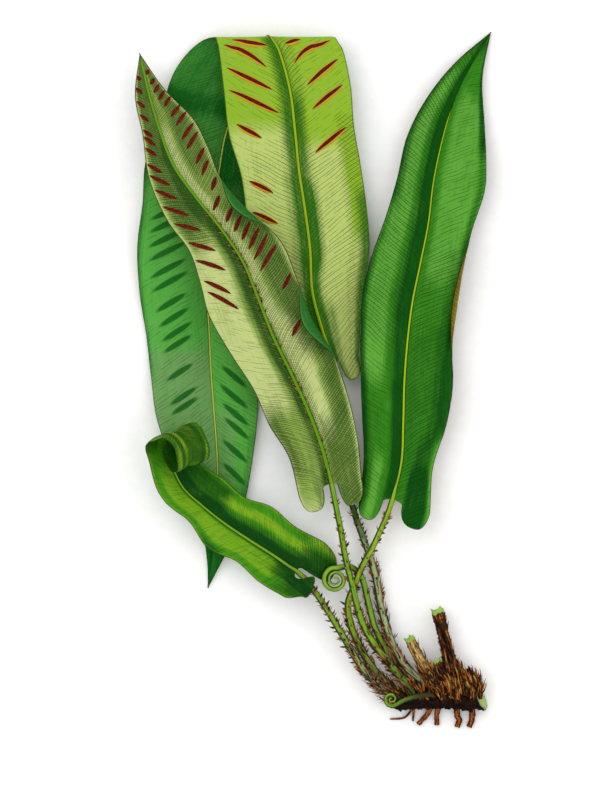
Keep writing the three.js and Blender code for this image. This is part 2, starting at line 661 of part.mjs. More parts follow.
/** The blade's two faces and its rim as one closed skin; both faces are split alike. */
function bladeSheet(frond) {
  const face = [];
  const back = [];
  const cells = [];
  const half = BLADE_THICKNESS / 2;
  const pointAt = (side, t, q) => {
    const middle = surfaceAt(frond, side, t, q);
    const outward = faceAt(frond, side, t, q);
    const rib = q === 0 ? ribHeight(frond, t) : 0;
    face.push(moved(middle, [outward, half + (frond.underside > 0 ? rib : 0)]));
    back.push(moved(middle, [outward, -half - (frond.underside < 0 ? rib : 0)]));
    return face.length - 1;
  };
  const stitch = (lower, upper, reversed) => {
    for (let j = 0; j + 1 < lower.length; j += 1) {
      const cell = [lower[j], lower[j + 1], upper[j + 1], upper[j]];
      cells.push(reversed ? [cell[1], cell[0], cell[3], cell[2]] : cell);
    }
  };
  const rows = bladePlaces(frond).map((t) => {
    const left = columnsOf(sectionAt(frond, 'left', t)).slice(1).reverse();
    const right = columnsOf(sectionAt(frond, 'right', t));
    return [...left.map((q) => pointAt('left', t, q)), ...right.map((q) => pointAt('right', t, q))];
  });
  rows.slice(1).forEach((row, i) => stitch(rows[i], row, false));
  const midrib = COLUMNS.length;
  for (const side of ['left', 'right']) {
    const strips = lobeRows(frond, side).map(({ t, inner, outer }) => (
      LOBE_COLUMNS.map((share) => pointAt(side, t, lerp(inner, outer, share)))
    ));
    const sinus = side === 'left' ? rows[0].slice(0, midrib + 1).reverse() : rows[0].slice(midrib);
    [...strips.slice(1), sinus].forEach((row, i) => stitch(strips[i], row, side === 'left'));
  }
  const count = face.length;
  const top = cells.flatMap(([a, b, c, d]) => [[a, b, c], [a, c, d]]);
  const bottom = top.map(([a, b, c]) => [a + count, c + count, b + count]);
  const edges = new Set(top.flatMap(([a, b, c]) => [`${a},${b}`, `${b},${c}`, `${c},${a}`]));
  const rim = [...edges].map((edge) => edge.split(',').map(Number))
    .filter(([a, b]) => !edges.has(`${b},${a}`))
    .flatMap(([a, b]) => [[b, a, a + count], [b, a + count, b + count]]);
  return { solid: solidOf([...face, ...back], [...top, ...bottom, ...rim]), face, rows };
}

/** The foot of the midrib: the round end that meets the stalk and runs out into the blade. */
function midribFoot(frond) {
  const end = MIDRIB.foot.at(-1);
  const rings = MIDRIB.foot.map((t) => {
    const { centre, along } = frameAt(frond, t);
    return levelRing(centre, along, lerp(MIDRIB.radius, BLADE_THICKNESS / 4, t / end));
  });
  return sweep(rings, MIDRIB.sides);
}

/** The point on the facets of the blade's face at place t and share u of the half-width. */
function facetPoint(sheet, places, side, t, u) {
  const i = Math.min(places.findIndex((place) => place > t), places.length - 1) - 1;
  const s = (t - places[i]) / (places[i + 1] - places[i]);
  const j = Math.min(COLUMNS.findIndex((share) => share > u), COLUMNS.length - 1) - 1;
  const v = (u - COLUMNS[j]) / (COLUMNS[j + 1] - COLUMNS[j]);
  const midrib = COLUMNS.length;
  const column = (k) => midrib + (side === 'left' ? -1 : 1) * (k + 1);
  const corner = (row, k) => sheet.face[sheet.rows[row][column(k)]];
  const [a, b, c, d] = [corner(i, j), corner(i, j + 1), corner(i + 1, j + 1), corner(i + 1, j)];
  const near = a.clone().lerp(b, v);
  return near.lerp(d.clone().lerp(c, v), s);
}

/** The sori of a blade: long narrow ridges in slanting rows on its underside. */
function soriSolids(frond, sheet, random) {
  const places = bladePlaces(frond);
  return frond.sori.flatMap(({ side, outer, inner, slant, at }) => (
    at.map((place, i) => {
      const share = i / (at.length - 1);
      const halfWidth = sectionAt(frond, side, place).seen;
      const outerShare = lerp(outer[0], outer[1], share);
      const innerShare = lerp(lerp(inner[0], inner[1], share), outerShare, SORUS.shorter * random());
      const reach = halfWidth * (outerShare - innerShare);
      const run = (reach * Math.tan(radians(slant))) / stationLength(frond);
      const spine = [0, 0.5, 1].map((s) => (
        facetPoint(sheet, places, side, place + run * (0.5 - s), lerp(outerShare, innerShare, s))
      ));
      const along = spine[2].clone().sub(spine[0]).normalize();
      const face = faceAt(frond, side, place, (halfWidth * (outerShare + innerShare)) / 2);
      const across = new THREE.Vector3().crossVectors(face, along).normalize();
      const rings = spine.map((point, k) => {
        const { height, sunk, tipShare } = SORUS;
        const fullness = k === 1 ? 1 : tipShare;
        const high = (2 / 3) * (height * fullness + sunk);
        const centre = moved(point, [face, height * fullness - high]);
        return { centre, across, up: face, wide: 2 * frond.sorusHalfWidth * fullness, high };
      });
      return sweep(rings, SORUS.sides, { start: Math.PI / 2 });
    })
  ));
}

/** A whole blade: its sheet, the foot of its midrib and its sori fused in one body. */
function bladeSolid(frond, seed) {
  const sheet = bladeSheet(frond);
  return joined([sheet.solid, midribFoot(frond), ...soriSolids(frond, sheet, seeded(seed))]);
}

/** The young frond with the stations of its scroll worked out and its camber turned round there. */
function withScroll(frond, scroll) {
  const start = vector(scroll.start);
  const axis = sideDirection(scroll.bearing, scroll.tilt);
  const forward = new THREE.Vector3().crossVectors(UP, axis).normalize();
  const upward = new THREE.Vector3().crossVectors(axis, forward);
  const stations = scroll.widths.map(([left, right], i) => {
    const wound = radians(i * scroll.stepDegrees);
    const radius = scroll.radius - scroll.tightening * wound;
    const ahead = radius * Math.sin(wound) + scroll.tightening * (1 - Math.cos(wound));
    const rise = scroll.radius - radius * Math.cos(wound) - scroll.tightening * Math.sin(wound);
    const place = moved(start, [forward, ahead], [upward, rise]);
    return [...place.toArray(), scroll.bearing, scroll.tilt, left, right];
  });
  const flatStations = frond.stations.length - 1;
  return {
    ...frond,
    stations: [...frond.stations, ...stations],
    calm: (t) => {
      const wound = THREE.MathUtils.clamp((t - flatStations) / 2, 0, 1);
      return lerp(1, -scroll.swell, wound);
    },
  };
}

// ---------------------------------------------------------------- stalks, croziers and stubs

/** Rows of x, y, z and radius for a stalk that thins evenly from one radius to another. */
function tapered(points, fromRadius, toRadius) {
  return points.map((point, i) => [...point, lerp(fromRadius, toRadius, i / (points.length - 1))]);
}

/** The rings of a stem; where it carries a blade, it ends square to it, a seat gap below. */
function stemRings({ rows, frond }, extraRadius = 0) {
  const rings = ringsAlong(rows, STALK.ringLength, extraRadius);
  if (extraRadius > 0) {
    const { centre, across, up } = rings[0];
    centre.addScaledVector(new THREE.Vector3().crossVectors(across, up), -extraRadius);
  }
  if (frond) {
    const { centre, along } = frameAt(frond, 0);
    rings[rings.length - 1] = levelRing(moved(centre, [along, -SEAT_GAP]), along, STALK.top + extraRadius);
  }
  return rings;
}

/** The rows of a crozier: its stem, then the coil winding inwards at an even pitch. */
function crozierRows({ stem, radius, coil }) {
  const steps = Math.round(coil.turns * COIL_POINTS);
  const centre = vector(coil.centre);
  const coilRows = Array.from({ length: steps + 1 }, (_, i) => {
    const turned = (coil.turns * i) / steps;
    const angle = radians(coil.from) + coil.way * turned * 2 * Math.PI;
    const distance = coil.radius - coil.pitch * turned;
    const outward = new THREE.Vector3(Math.cos(angle), Math.sin(angle), 0);
    const point = moved(centre, [outward, distance]);
    return [...point.toArray(), Math.max(coil.band * distance, COIL_BAND_MIN)];
  });
  return [...tapered(stem, radius[0], radius[1]), ...coilRows];
}

/** The way out of a ring at an angle round it. */
function outwardAt({ across, up }, angle) {
  return across.clone().multiplyScalar(Math.cos(angle)).addScaledVector(up, Math.sin(angle));
}

/** As many scales as asked for, each drawn again up to a few times until it is clear. */
function clearScales(count, draw, obstacles) {
  const scales = [];
  for (let i = 0; i < count; i += 1) {
    for (let attempt = 0; attempt < SCALE.tries; attempt += 1) {
      const { root, tip } = draw(i / count);
      const scale = clearScale(root, tip, obstacles);
      if (scale) {
        scales.push(scale);
        break;
      }
    }
  }
  return scales;
}

/** Scales standing off a stem on all sides, leaning towards its top, clear of the obstacles. */
function stemScales(rows, settings, random, obstacles) {
  const { count, length, fromBase, belowBlade, lean, crowding } = settings;
  const rings = ringsAlong(rows, 1);
  const draw = (share) => {
    const height = (share + (0.5 * random()) / count) ** crowding;
    const ring = rings[Math.round(lerp(fromBase, rings.length - 1 - belowBlade, height))];
    const along = new THREE.Vector3().crossVectors(ring.across, ring.up);
    const outward = outwardAt(ring, 2 * Math.PI * random());
    const root = moved(ring.centre, [outward, ring.wide * SCALE.seat]);
    const direction = outward.clone().addScaledVector(along, lean).normalize();
    const size = lerp(length[0], length[1], height) * lerp(0.75, 1.2, random());
    return { root, tip: moved(root, [direction, size]) };
  };
  return clearScales(count, draw, obstacles);
}

// ---------------------------------------------------------------- rhizome

/** The rhizome's bare body with its roots, cut off at the surface and at its old end. */
function rhizomeBody(random) {
  const rings = ringsAlong(RHIZOME, RHIZOME_RING_LENGTH);
  const swells = rings.map(() => Array.from({ length: RHIZOME_SIDES }, () => (
    1 + RHIZOME_ROUGHNESS * (2 * random() - 1)
  )));
  const body = sweep(rings, RHIZOME_SIDES, { roughness: (i, k) => swells[i][k] });
  const roots = ROOTS.map((rows) => sweep(ringsAlong(rows, ROOT_RING_LENGTH), ROOT_SIDES));
  const bases = LEAF_BASES.map((rows) => (
    sweep(ringsAlong(rows, LEAF_BASE_RING_LENGTH), LEAF_BASE_SIDES)
  ));
  const size = 100; // larger than the rhizome
  const below = new THREE.BoxGeometry(size, size, size).translate(0, 0, -size / 2);
  const cutOff = new THREE.BoxGeometry(size, size, size).translate(0, 0, size / 2);
  const turn = new THREE.Quaternion().setFromUnitVectors(UP, vector(RHIZOME_CUT.faces).normalize());
  cutOff.applyQuaternion(turn).translate(...RHIZOME_CUT.at);
  return joined([body.subtract(solidFrom(cutOff)), ...roots, ...bases]).subtract(solidFrom(below));
}

/** Chaff over the crown: scales rooted in the rhizome's upper side that lean along the stalks. */
function chaffScales(random, obstacles) {
  const { count, length, fromEnd, beforeEnd, round } = CHAFF;
  const rings = ringsAlong(RHIZOME, 1);
  const lean = vector(CHAFF.lean).normalize();
  const draw = () => {
    const ring = rings[Math.floor(lerp(fromEnd, rings.length - beforeEnd, random()))];
    const outward = outwardAt(ring, radians(lerp(round[0], round[1], random())));
    const root = moved(ring.centre, [outward, ring.wide * SCALE.seat]);
    const direction = moved(new THREE.Vector3(), [outward, 0.5], [lean, 0.4 + random()]).normalize();
    return { root, tip: moved(root, [direction, lerp(length[0], length[1], random())]) };
  };
  return clearScales(count, draw, obstacles);
}

// ---------------------------------------------------------------- the plant

const blades = {
  frond_right_blade: bladeSolid(RIGHT_FROND, 11),
  frond_front_blade: bladeSolid(FRONT_FROND, 12),
  frond_back_blade: bladeSolid(BACK_FROND, 13),
  frond_young_blade: bladeSolid(withScroll(YOUNG_FROND, SCROLL), 14),
};
const stalk = (points, frond) => ({
  rows: tapered(points, STALK.base, STALK.top),
  frond,
  sides: STALK.sides,
  scales: STALK_SCALES,
});
const stems = {
  frond_right_stipe: stalk(RIGHT_STALK, RIGHT_FROND),
  frond_front_stipe: stalk(FRONT_STALK, FRONT_FROND),
  frond_back_stipe: stalk(BACK_STALK, BACK_FROND),
  frond_young_stipe: stalk(YOUNG_STALK, YOUNG_FROND),
  crozier_tall: { rows: crozierRows(TALL_CROZIER), sides: CROZIER_SIDES },
  crozier_low: { rows: crozierRows(LOW_CROZIER), sides: CROZIER_SIDES },
};
for (const [name, rows] of Object.entries(OLD_STUBS)) {
  stems[name] = { rows, sides: STUB_SIDES, scales: STUB_SCALES };
}

// Every stem, bare, and the rhizome with a hole a seat gap wider than each.
const solids = { ...blades };
let rhizome = rhizomeBody(seeded(21));
for (const [name, stem] of Object.entries(stems)) {
  solids[name] = sweep(stemRings(stem), stem.sides);
  rhizome = rhizome.subtract(sweep(stemRings(stem, SEAT_GAP), stem.sides));
}
solids.rhizome = rhizome;

/** Every solid but the named one. */
function othersThan(name) {
  return Object.entries(solids).filter(([other]) => other !== name).map(([, solid]) => solid);
}

// Scales go on stem by stem, each clear of everything that is already there.
const scaleRandom = seeded(31);
for (const [name, { rows, scales }] of Object.entries(stems)) {
  if (scales) {
    solids[name] = joined([solids[name], ...stemScales(rows, scales, scaleRandom, othersThan(name))]);
  }
}
solids.rhizome = joined([solids.rhizome, ...chaffScales(seeded(41), othersThan('rhizome'))]);

/** The largest connected part of a geometry: loose crumbs from a cut are dropped. */
function largestBody(geometry) {
  const index = Array.from(geometry.index.array);
  const owner = Array.from({ length: geometry.attributes.position.count }, (_, i) => i);
  const find = (i) => {
    let root = i;
    while (owner[root] !== root) {
      root = owner[root];
    }
    owner[i] = root;
    return root;
  };
  for (let i = 0; i < index.length; i += 3) {
    owner[find(index[i + 1])] = find(index[i]);
    owner[find(index[i + 2])] = find(index[i]);
  }
  const sizes = new Map();
  index.forEach((i) => sizes.set(find(i), (sizes.get(find(i)) ?? 0) + 1));
  const [largest] = [...sizes].sort((a, b) => b[1] - a[1])[0];
  geometry.setIndex(index.filter((i) => find(i) === largest));
  return mergeVertices(geometry);
}

/** A named mesh of a solid in its own material. */
function plantMesh(name, solid, colour, roughness) {
  const { vertProperties, triVerts } = solid.getMesh();
  const geometry = new THREE.BufferGeometry();
  geometry.setAttribute('position', new THREE.BufferAttribute(vertProperties, 3));
  geometry.setIndex(new THREE.BufferAttribute(triVerts, 1));
  const material = new THREE.MeshStandardMaterial({ color: colour, roughness, metalness: 0 });
  const mesh = new THREE.Mesh(largestBody(mergeVertices(geometry)), material);
  mesh.name = name;
  return mesh;
}

const FINISHES = {
  frond_right_blade: [COLOURS.blade_upper, 0.5],
  frond_front_blade: [COLOURS.blade_under, 0.65],
  frond_back_blade: [COLOURS.blade_under, 0.6],
  frond_young_blade: [COLOURS.blade_upper, 0.5],
  frond_right_stipe: [COLOURS.stalk, 0.6],
  frond_front_stipe: [COLOURS.stalk, 0.6],
  frond_back_stipe: [COLOURS.stalk, 0.6],
  frond_young_stipe: [COLOURS.stalk, 0.6],
  crozier_tall: [COLOURS.crozier, 0.55],
  crozier_low: [COLOURS.crozier, 0.55],
  old_stipe_tan: [COLOURS.stub_tan, 0.85],
  old_stipe_tall: [COLOURS.stub_dark, 0.85],
  old_stipe_small: [COLOURS.stub_dark, 0.85],
  old_stipe_rear: [COLOURS.stub_dark, 0.85],
  rhizome: [COLOURS.rhizome, 0.9],
};

const fern = new THREE.Group();
fern.name = 'harts_tongue_fern';
for (const [name, [colour, roughness]] of Object.entries(FINISHES)) {
  fern.add(plantMesh(name, solids[name], colour, roughness));
}

export default fern;
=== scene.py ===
# %% [markdown]
# # A lifted harts tongue fern
# One short rhizome carries four strap-shaped fronds, two croziers that are still rolled up and
# four stubs of old leaf stalks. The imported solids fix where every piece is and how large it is.
# This lesson builds the living surface over them: waved blades with a midrib, slanting veins,
# rusty lines of spore cases, chaffy scales and cut roots.
#
# Lengths are written in millimetres, the size at which one thinks of a leaf. They are turned into
# metres only where points go into a mesh and where the camera and the lights are placed.

import bpy
import numpy as np
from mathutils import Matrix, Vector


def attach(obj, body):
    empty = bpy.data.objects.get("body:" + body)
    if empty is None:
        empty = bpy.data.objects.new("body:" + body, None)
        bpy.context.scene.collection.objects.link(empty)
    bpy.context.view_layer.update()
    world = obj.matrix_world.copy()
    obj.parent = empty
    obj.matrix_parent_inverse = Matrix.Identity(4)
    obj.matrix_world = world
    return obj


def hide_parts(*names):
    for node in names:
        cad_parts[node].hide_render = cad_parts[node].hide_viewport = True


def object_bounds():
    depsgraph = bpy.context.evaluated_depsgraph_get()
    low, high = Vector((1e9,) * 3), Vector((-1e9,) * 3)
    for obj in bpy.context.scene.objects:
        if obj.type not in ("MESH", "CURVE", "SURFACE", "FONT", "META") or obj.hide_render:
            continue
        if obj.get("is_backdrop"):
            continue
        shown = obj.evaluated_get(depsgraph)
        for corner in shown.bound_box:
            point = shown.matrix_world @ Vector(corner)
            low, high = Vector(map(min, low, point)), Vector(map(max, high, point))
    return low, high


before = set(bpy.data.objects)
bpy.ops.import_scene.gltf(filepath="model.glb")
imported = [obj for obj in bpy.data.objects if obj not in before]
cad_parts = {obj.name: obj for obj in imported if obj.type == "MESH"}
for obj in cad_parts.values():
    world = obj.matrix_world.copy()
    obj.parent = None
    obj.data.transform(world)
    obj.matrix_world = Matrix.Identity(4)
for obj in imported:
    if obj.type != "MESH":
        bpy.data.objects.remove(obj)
CAD_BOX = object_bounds()
MM = 0.001
print("nodes:", sorted(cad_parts))
print("box in mm:", [[round(value / MM, 1) for value in corner] for corner in CAD_BOX])

# %% [markdown]
# ## Camera
# The plant lies flat, so the camera hangs straight above it. A short lens close by would make
# the raised leaves look larger than the low ones, so a long lens is used from six metres away.

# %% Camera
VIEW_CENTRE = (-70, 150)
VIEW_HEIGHT = 400
CAMERA_DISTANCE = 6000
SENSOR = 36


def make_camera():
    """A camera that looks straight down; lens = sensor * distance / height of the view."""
    data = bpy.data.cameras.new("camera")
    data.sensor_width = SENSOR
    data.lens = SENSOR * CAMERA_DISTANCE / VIEW_HEIGHT
    data.clip_end = 3 * CAMERA_DISTANCE * MM
    camera = bpy.data.objects.new("camera", data)
    camera.location = (VIEW_CENTRE[0] * MM, VIEW_CENTRE[1] * MM, CAMERA_DISTANCE * MM)
    bpy.context.scene.collection.objects.link(camera)
    bpy.context.scene.camera = camera
    print("camera lens in mm:", data.lens)


make_camera()

# %% [markdown]
# ## Light
# Sunlight would throw hard shadows and hide the veins. Two large square sources do what two
# windows do: the stronger one at the upper left shapes the leaves, the weaker one opposite
# lifts the dark sides. An even white room fills the rest.

# %% Lights and room
LIGHTS = {"window": ((-1300, 1300, 2200), 21), "reflector": ((1500, -700, 2000), 8)}
LIGHT_SIZE = 2400
ROOM_STRENGTH = 1.06


def make_light(name, place, size, power):
    """A square soft light at a place in millimetres that faces the middle of the plant."""
    data = bpy.data.lights.new(name, "AREA")
    data.size = size * MM
    data.energy = power
    light = bpy.data.objects.new(name, data)
    light.location = [value * MM for value in place]
    middle = np.array([*VIEW_CENTRE, 0]) * MM
    towards = middle - np.array(light.location)
    light.rotation_euler = Vector(towards).to_track_quat("-Z", "Y").to_euler()
    bpy.context.scene.collection.objects.link(light)


for name, (place, power) in LIGHTS.items():
    make_light(name, place, LIGHT_SIZE, power)
world = bpy.data.worlds.new("room")
world.use_nodes = True
room_light = world.node_tree.nodes["Background"].inputs
room_light["Color"].default_value = (1, 1, 1, 1)
room_light["Strength"].default_value = ROOM_STRENGTH
bpy.context.scene.world = world
bpy.context.scene.view_settings.view_transform = "Standard"
print("lights:", sorted(LIGHTS))

# %% [markdown]
# ## Smooth curves through a few places
# A midrib or a stalk is a handful of given places. A Catmull-Rom curve passes through
# all of them, which makes it easier to steer than a Bezier curve, and one formula handles every
# column of a row at once: the place, the turn of the blade and its two half-widths.

# %% Curves
CURVE_STEPS = 40


def unit(vectors):
    """Each vector divided by its own length."""
    return vectors / np.maximum(np.linalg.norm(vectors, axis=-1, keepdims=True), 1e-9)


def row_at(rows, t):
    """
    The row of values at each place t: a Catmull-Rom curve, with the slope at a row half the
    difference of its two neighbours, and a straight line back from the first row below 0.
    """
    rows = np.asarray(rows, float)
    t = np.asarray(t, float)
    padded = np.vstack([2 * rows[0] - rows[1], rows, 2 * rows[-1] - rows[-2]])
    index = np.clip(np.floor(t).astype(int), 0, len(rows) - 2)
    s = (t - index)[..., None]
    before, start, end, after = (padded[index + k] for k in range(4))
    slope, next_slope, rise = (end - before) / 2, (after - start) / 2, end - start
    bend = 3 * rise - 2 * slope - next_slope
    twist = slope + next_slope - 2 * rise
    curve = start + s * (slope + s * (bend + s * twist))
    straight = rows[0] + (rows[1] - rows[0]) * t[..., None]
    return np.where(t[..., None] < 0, straight, curve)


def distances(rows):
    """Places t in small steps along a curve, and the length of the curve up to each."""
    t = np.linspace(0, len(rows) - 1, CURVE_STEPS * (len(rows) - 1) + 1)
    points = row_at(rows, t)[:, :3]
    steps = np.linalg.norm(np.diff(points, axis=0), axis=1)
    return t, np.concatenate([[0], np.cumsum(steps)])


def even_path(rows, step):
    """The rows at even distances of about one step, and those distances."""
    t, along = distances(rows)
    even = np.linspace(0, along[-1], max(int(along[-1] / step), 3) + 1)
    return row_at(rows, np.interp(even, along, t)), even


print("a curve half way between two places:", row_at([[0, 0, 0], [8, 0, 0], [16, 8, 0]], 0.5))

# %% [markdown]
# ## Unevenness
# Bark and spore cases are never smooth. Displacing points by separate random numbers would give
# spikes, so a few sine waves in random directions are summed instead: they make soft bumps of
# one chosen size, the same on every run because the draws are seeded.

# %% Soft bumps
SWELL = {"waves": 12, "lengths": (0.6, 1.5), "divisor": 4}


def swell(points, size, seed):
    """
    Smooth unevenness between about -1 and 1: the sum of a dozen sine waves that run in random
    directions, with wavelengths round the given size, divided by a number near its usual peak.
    """
    random = np.random.default_rng(seed)
    directions = unit(random.normal(size=(SWELL["waves"], 3)))
    counts = random.uniform(*SWELL["lengths"], (SWELL["waves"], 1))
    waves = directions * (2 * np.pi / size) * counts
    phases = random.uniform(0, 2 * np.pi, SWELL["waves"])
    return np.sin(points @ waves.T + phases).sum(-1) / SWELL["divisor"]


print("bumps at three places:", swell(np.eye(3), 2.0, 1).round(2))

# %% [markdown]
# ## From arrays to a piece
# Every piece ends in the same few calls: its points and faces become a mesh, it gets its
# material, rides on the plant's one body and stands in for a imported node. Values that the
# material needs, such as the distance from the midrib, are stored on the points as attributes.

# %% Pieces
CREASE = 50


def make_piece(name, skin, node, material):
    """A mesh object from (points in mm, faces, attributes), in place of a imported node."""
    points, faces, attributes = skin
    mesh = bpy.data.meshes.new(name)
    mesh.from_pydata(points * MM, [], faces)
    for key, values in attributes.items():
        kind = ("FLOAT", "value") if values.ndim == 1 else ("FLOAT_VECTOR", "vector")
        layer = mesh.attributes.new(key, kind[0], "POINT")
        layer.data.foreach_set(kind[1], values.astype(np.float32).ravel())
    mesh.shade_smooth()
    mesh.set_sharp_from_angle(angle=np.radians(CREASE))
    mesh.materials.append(material)
    piece = bpy.data.objects.new(name, mesh)
    bpy.context.scene.collection.objects.link(piece)
    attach(piece, "root")
    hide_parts(node)
    triangles = sum(len(face) - 2 for face in faces)
    print(f"{name}: {len(points)} points, {triangles} triangles")


# %% [markdown]
# ## Skins of tubes
# A skin is a set of points, the faces over them and the values stored on them. Stalks, roots,
# sori and scales are all tubes, so one function closes a whole set of them at once from a grid
# of points, and another makes one skin out of several.

# %% Tubes and joined skins
def tube_skin(grid, attributes):
    """
    Closed skins over a grid of (tubes, rings, points round): four-sided faces between
    neighbouring rings and one flat face over each end.
    """
    tubes, rings, around = grid.shape[:3]
    ids = np.arange(tubes * rings * around).reshape(tubes, rings, around)
    turned = np.roll(ids, -1, axis=2)
    sides = [ids[:, :-1], turned[:, :-1], turned[:, 1:], ids[:, 1:]]
    faces = np.stack(sides, -1).reshape(-1, 4).tolist()
    faces += ids[:, 0, ::-1].tolist() + ids[:, -1].tolist()
    flat = {key: values.reshape(ids.size, *values.shape[3:]) for key, values in attributes.items()}
    return grid.reshape(-1, 3), faces, flat


def joined_skins(skins):
    """Several skins as one: the faces of each count on from the points before them."""
    offsets = np.cumsum([0] + [len(points) for points, _, _ in skins])
    faces = [
        [index + offset for index in face]
        for offset, (_, part, _) in zip(offsets.tolist(), skins) for face in part
    ]
    keys = skins[0][2]
    attributes = {key: np.concatenate([part[key] for _, _, part in skins]) for key in keys}
    return np.concatenate([points for points, _, _ in skins]), faces, attributes


print("faces of a closed three-sided tube:", len(tube_skin(np.zeros((1, 2, 3, 3)), {})[1]))

# %% [markdown]
# ## The blade's section
# A strap-shaped blade is a function of two parameters: the place t along the midrib, counted in
# stations, and the distance q from the midrib. At each station the blade has a bearing, a tilt
# and two half-widths. Here and there its margin is turned over: bent on an arc and straight
# beyond it, which is simple to work out and keeps the length of the tissue true.

# %% Section of a blade
STATION_STEP = 0.02
TURN_BEND_SHARE = 0.55
TURN_FAINTEST = 0.02
NARROWEST = 0.3


def midrib_frame(frond, t):
    """The midrib's place and the along, across and face directions; face = across x along."""
    rows = frond["stations"]
    last = len(rows) - 1
    row = row_at(rows, t)
    ahead = row_at(rows, np.minimum(t + STATION_STEP, last))[..., :3]
    behind = row_at(rows, np.minimum(t, last) - STATION_STEP)[..., :3]
    bearing, tilt = np.radians(row[..., 3]), np.radians(row[..., 4])
    level = np.cos(tilt)
    across = np.stack([np.cos(bearing) * level, np.sin(bearing) * level, np.sin(tilt)], -1)
    along = unit(ahead - behind)
    return row[..., :3], along, across, unit(np.cross(across, along))


def section_at(frond, side, t):
    """
    The section of one half: the flat part, then the turned strip, whose first 55 % is bent. The
    width seen from above stays as given, so the strip adds the length that the turn hides.
    """
    seen = row_at(frond["stations"], np.maximum(t, 0))[..., 5 if side < 0 else 6]
    seen = np.maximum(seen, NARROWEST)
    turned, strip, angle = np.zeros_like(seen), np.ones_like(seen), np.ones_like(seen)
    for bent in frond["turns"]:
        if bent["side"] == side:
            here = np.exp(-(((t - bent["at"]) / bent["reach"]) ** 2))
            nearer = here > np.maximum(turned, TURN_FAINTEST)
            turned = np.where(nearer, here, turned)
            strip = np.where(nearer, bent["width"], strip)
            angle = np.where(nearer, np.radians(bent["angle"]), angle)
    bend = TURN_BEND_SHARE * strip / angle
    strip, angle = strip * turned, angle * turned
    slanting = bend * np.sin(angle) + (1 - TURN_BEND_SHARE) * strip * np.cos(angle)
    beyond = np.where(angle < np.pi / 2, slanting, bend) * (turned > 0)
    flat = np.maximum(seen - beyond, 0)
    return {"seen": seen, "flat": flat, "width": flat + strip, "turned": turned, "angle": angle,
            "bend": bend}


def profile_at(section, q):
    """Distance out and height at distance q: straight, then an arc, then straight again."""
    beyond = np.maximum(q - section["flat"], 0)
    bent = np.minimum(beyond / section["bend"], section["angle"])
    straight = beyond - bent * section["bend"]
    out = np.minimum(q, section["flat"]) + section["bend"] * np.sin(bent) + straight * np.cos(bent)
    return out, section["bend"] * (1 - np.cos(bent)) + straight * np.sin(bent)


upright = {"flat": 10.0, "bend": 1.0, "angle": np.pi / 2}
print("upright strip, out and high in mm:", [round(float(v), 2) for v in profile_at(upright, 12.0)])

# %% [markdown]
# ## The blade as a surface
# Camber arches each half of the blade and waves lift its margin. The same formulas gave the
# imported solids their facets. Here they are worked out for tens of thousands of points at once,
# and fine crinkles along the margin are added. The outward direction comes from the slopes of
# the surface itself, so that thickness can be laid on evenly.

# %% Blade surface
CAMBER_FULL_AT = 15
CAMBER_ARC = 0.8 * np.pi
CRINKLE = {"height": 0.32, "lengths": (11.3, 6.1), "power": 2.0}
LOBE_LIFT_POWER = 1.2
SLOPE_STEP = 0.1


def surface_at(frond, side, t, q):
    """
    A point of the blade's middle layer: the midrib's place, plus the distance out along the
    blade, plus the lift along its face. Lift = turned margin + calm * breadth * (camber * sine
    arch + wave * share squared * sine along t + crinkle) + the lift of a base lobe.
    """
    centre, _, across, face = midrib_frame(frond, t)
    section = section_at(frond, side, t)
    share = q / section["width"]
    out, turned = profile_at(section, q)
    breadth = np.minimum(1, section["seen"] / CAMBER_FULL_AT)
    height, per, phase = frond["waves"][side]
    wave = height * share ** 2 * np.sin(2 * np.pi * per * t + phase)
    camber = frond["camber"] * np.sin(CAMBER_ARC * share)
    millimetres = t * frond["station_length"]
    long, short = (np.sin(2 * np.pi * millimetres / size + side) for size in CRINKLE["lengths"])
    crinkle = CRINKLE["height"] * share ** CRINKLE["power"] * (long + short) / 2
    lobe = frond["lobes"][side]
    below = np.maximum(-t * frond["station_length"], 0) / lobe["length"]
    lift = turned + frond["calm"](t) * breadth * (camber + wave + crinkle)
    lift = lift + lobe["lift"] * below ** LOBE_LIFT_POWER
    return centre + across * (side * out)[..., None] + face * lift[..., None]


def face_at(frond, side, t, q):
    """The outward direction of the face: the cross product of the surface's two slopes."""
    ahead, behind = (surface_at(frond, side, t + step, q) for step in (STATION_STEP, -STATION_STEP))
    farther = surface_at(frond, side, t, q + SLOPE_STEP)
    nearer = surface_at(frond, side, t, np.maximum(q - SLOPE_STEP, 0))
    along_t, along_q = ahead - behind, farther - nearer
    across = midrib_frame(frond, t)[2]
    along_q = np.where((q < SLOPE_STEP)[..., None], across * side, along_q)
    return unit(np.cross(along_q, along_t)) * side


# %% [markdown]
# ## Columns and lobes
# The grid is closest where the blade bends most: beside the midrib and over a turned margin.
# Each base lobe is half an ellipse below the junction, filled by strips of points that end at
# the notch beside the stalk.

# %% Columns and lobes
RIB_COLUMNS = np.array([0, 0.3, 0.6, 0.9, 1.3])
EVEN_SHARES = np.linspace(0, 1, 25)[1:]
FLAT_SHARES = np.linspace(0, 1, 15)[1:]
TURN_SHARES = np.linspace(0, 1, 11)[1:]
LOBE_ANGLES = np.radians(90 * np.linspace(0.02, 0.98, 18) ** 1.3)
LOBE_ROUNDNESS = 0.72
SINUS_RISE = 2
SINUS_SHARES = np.linspace(0, 0.96, 6)


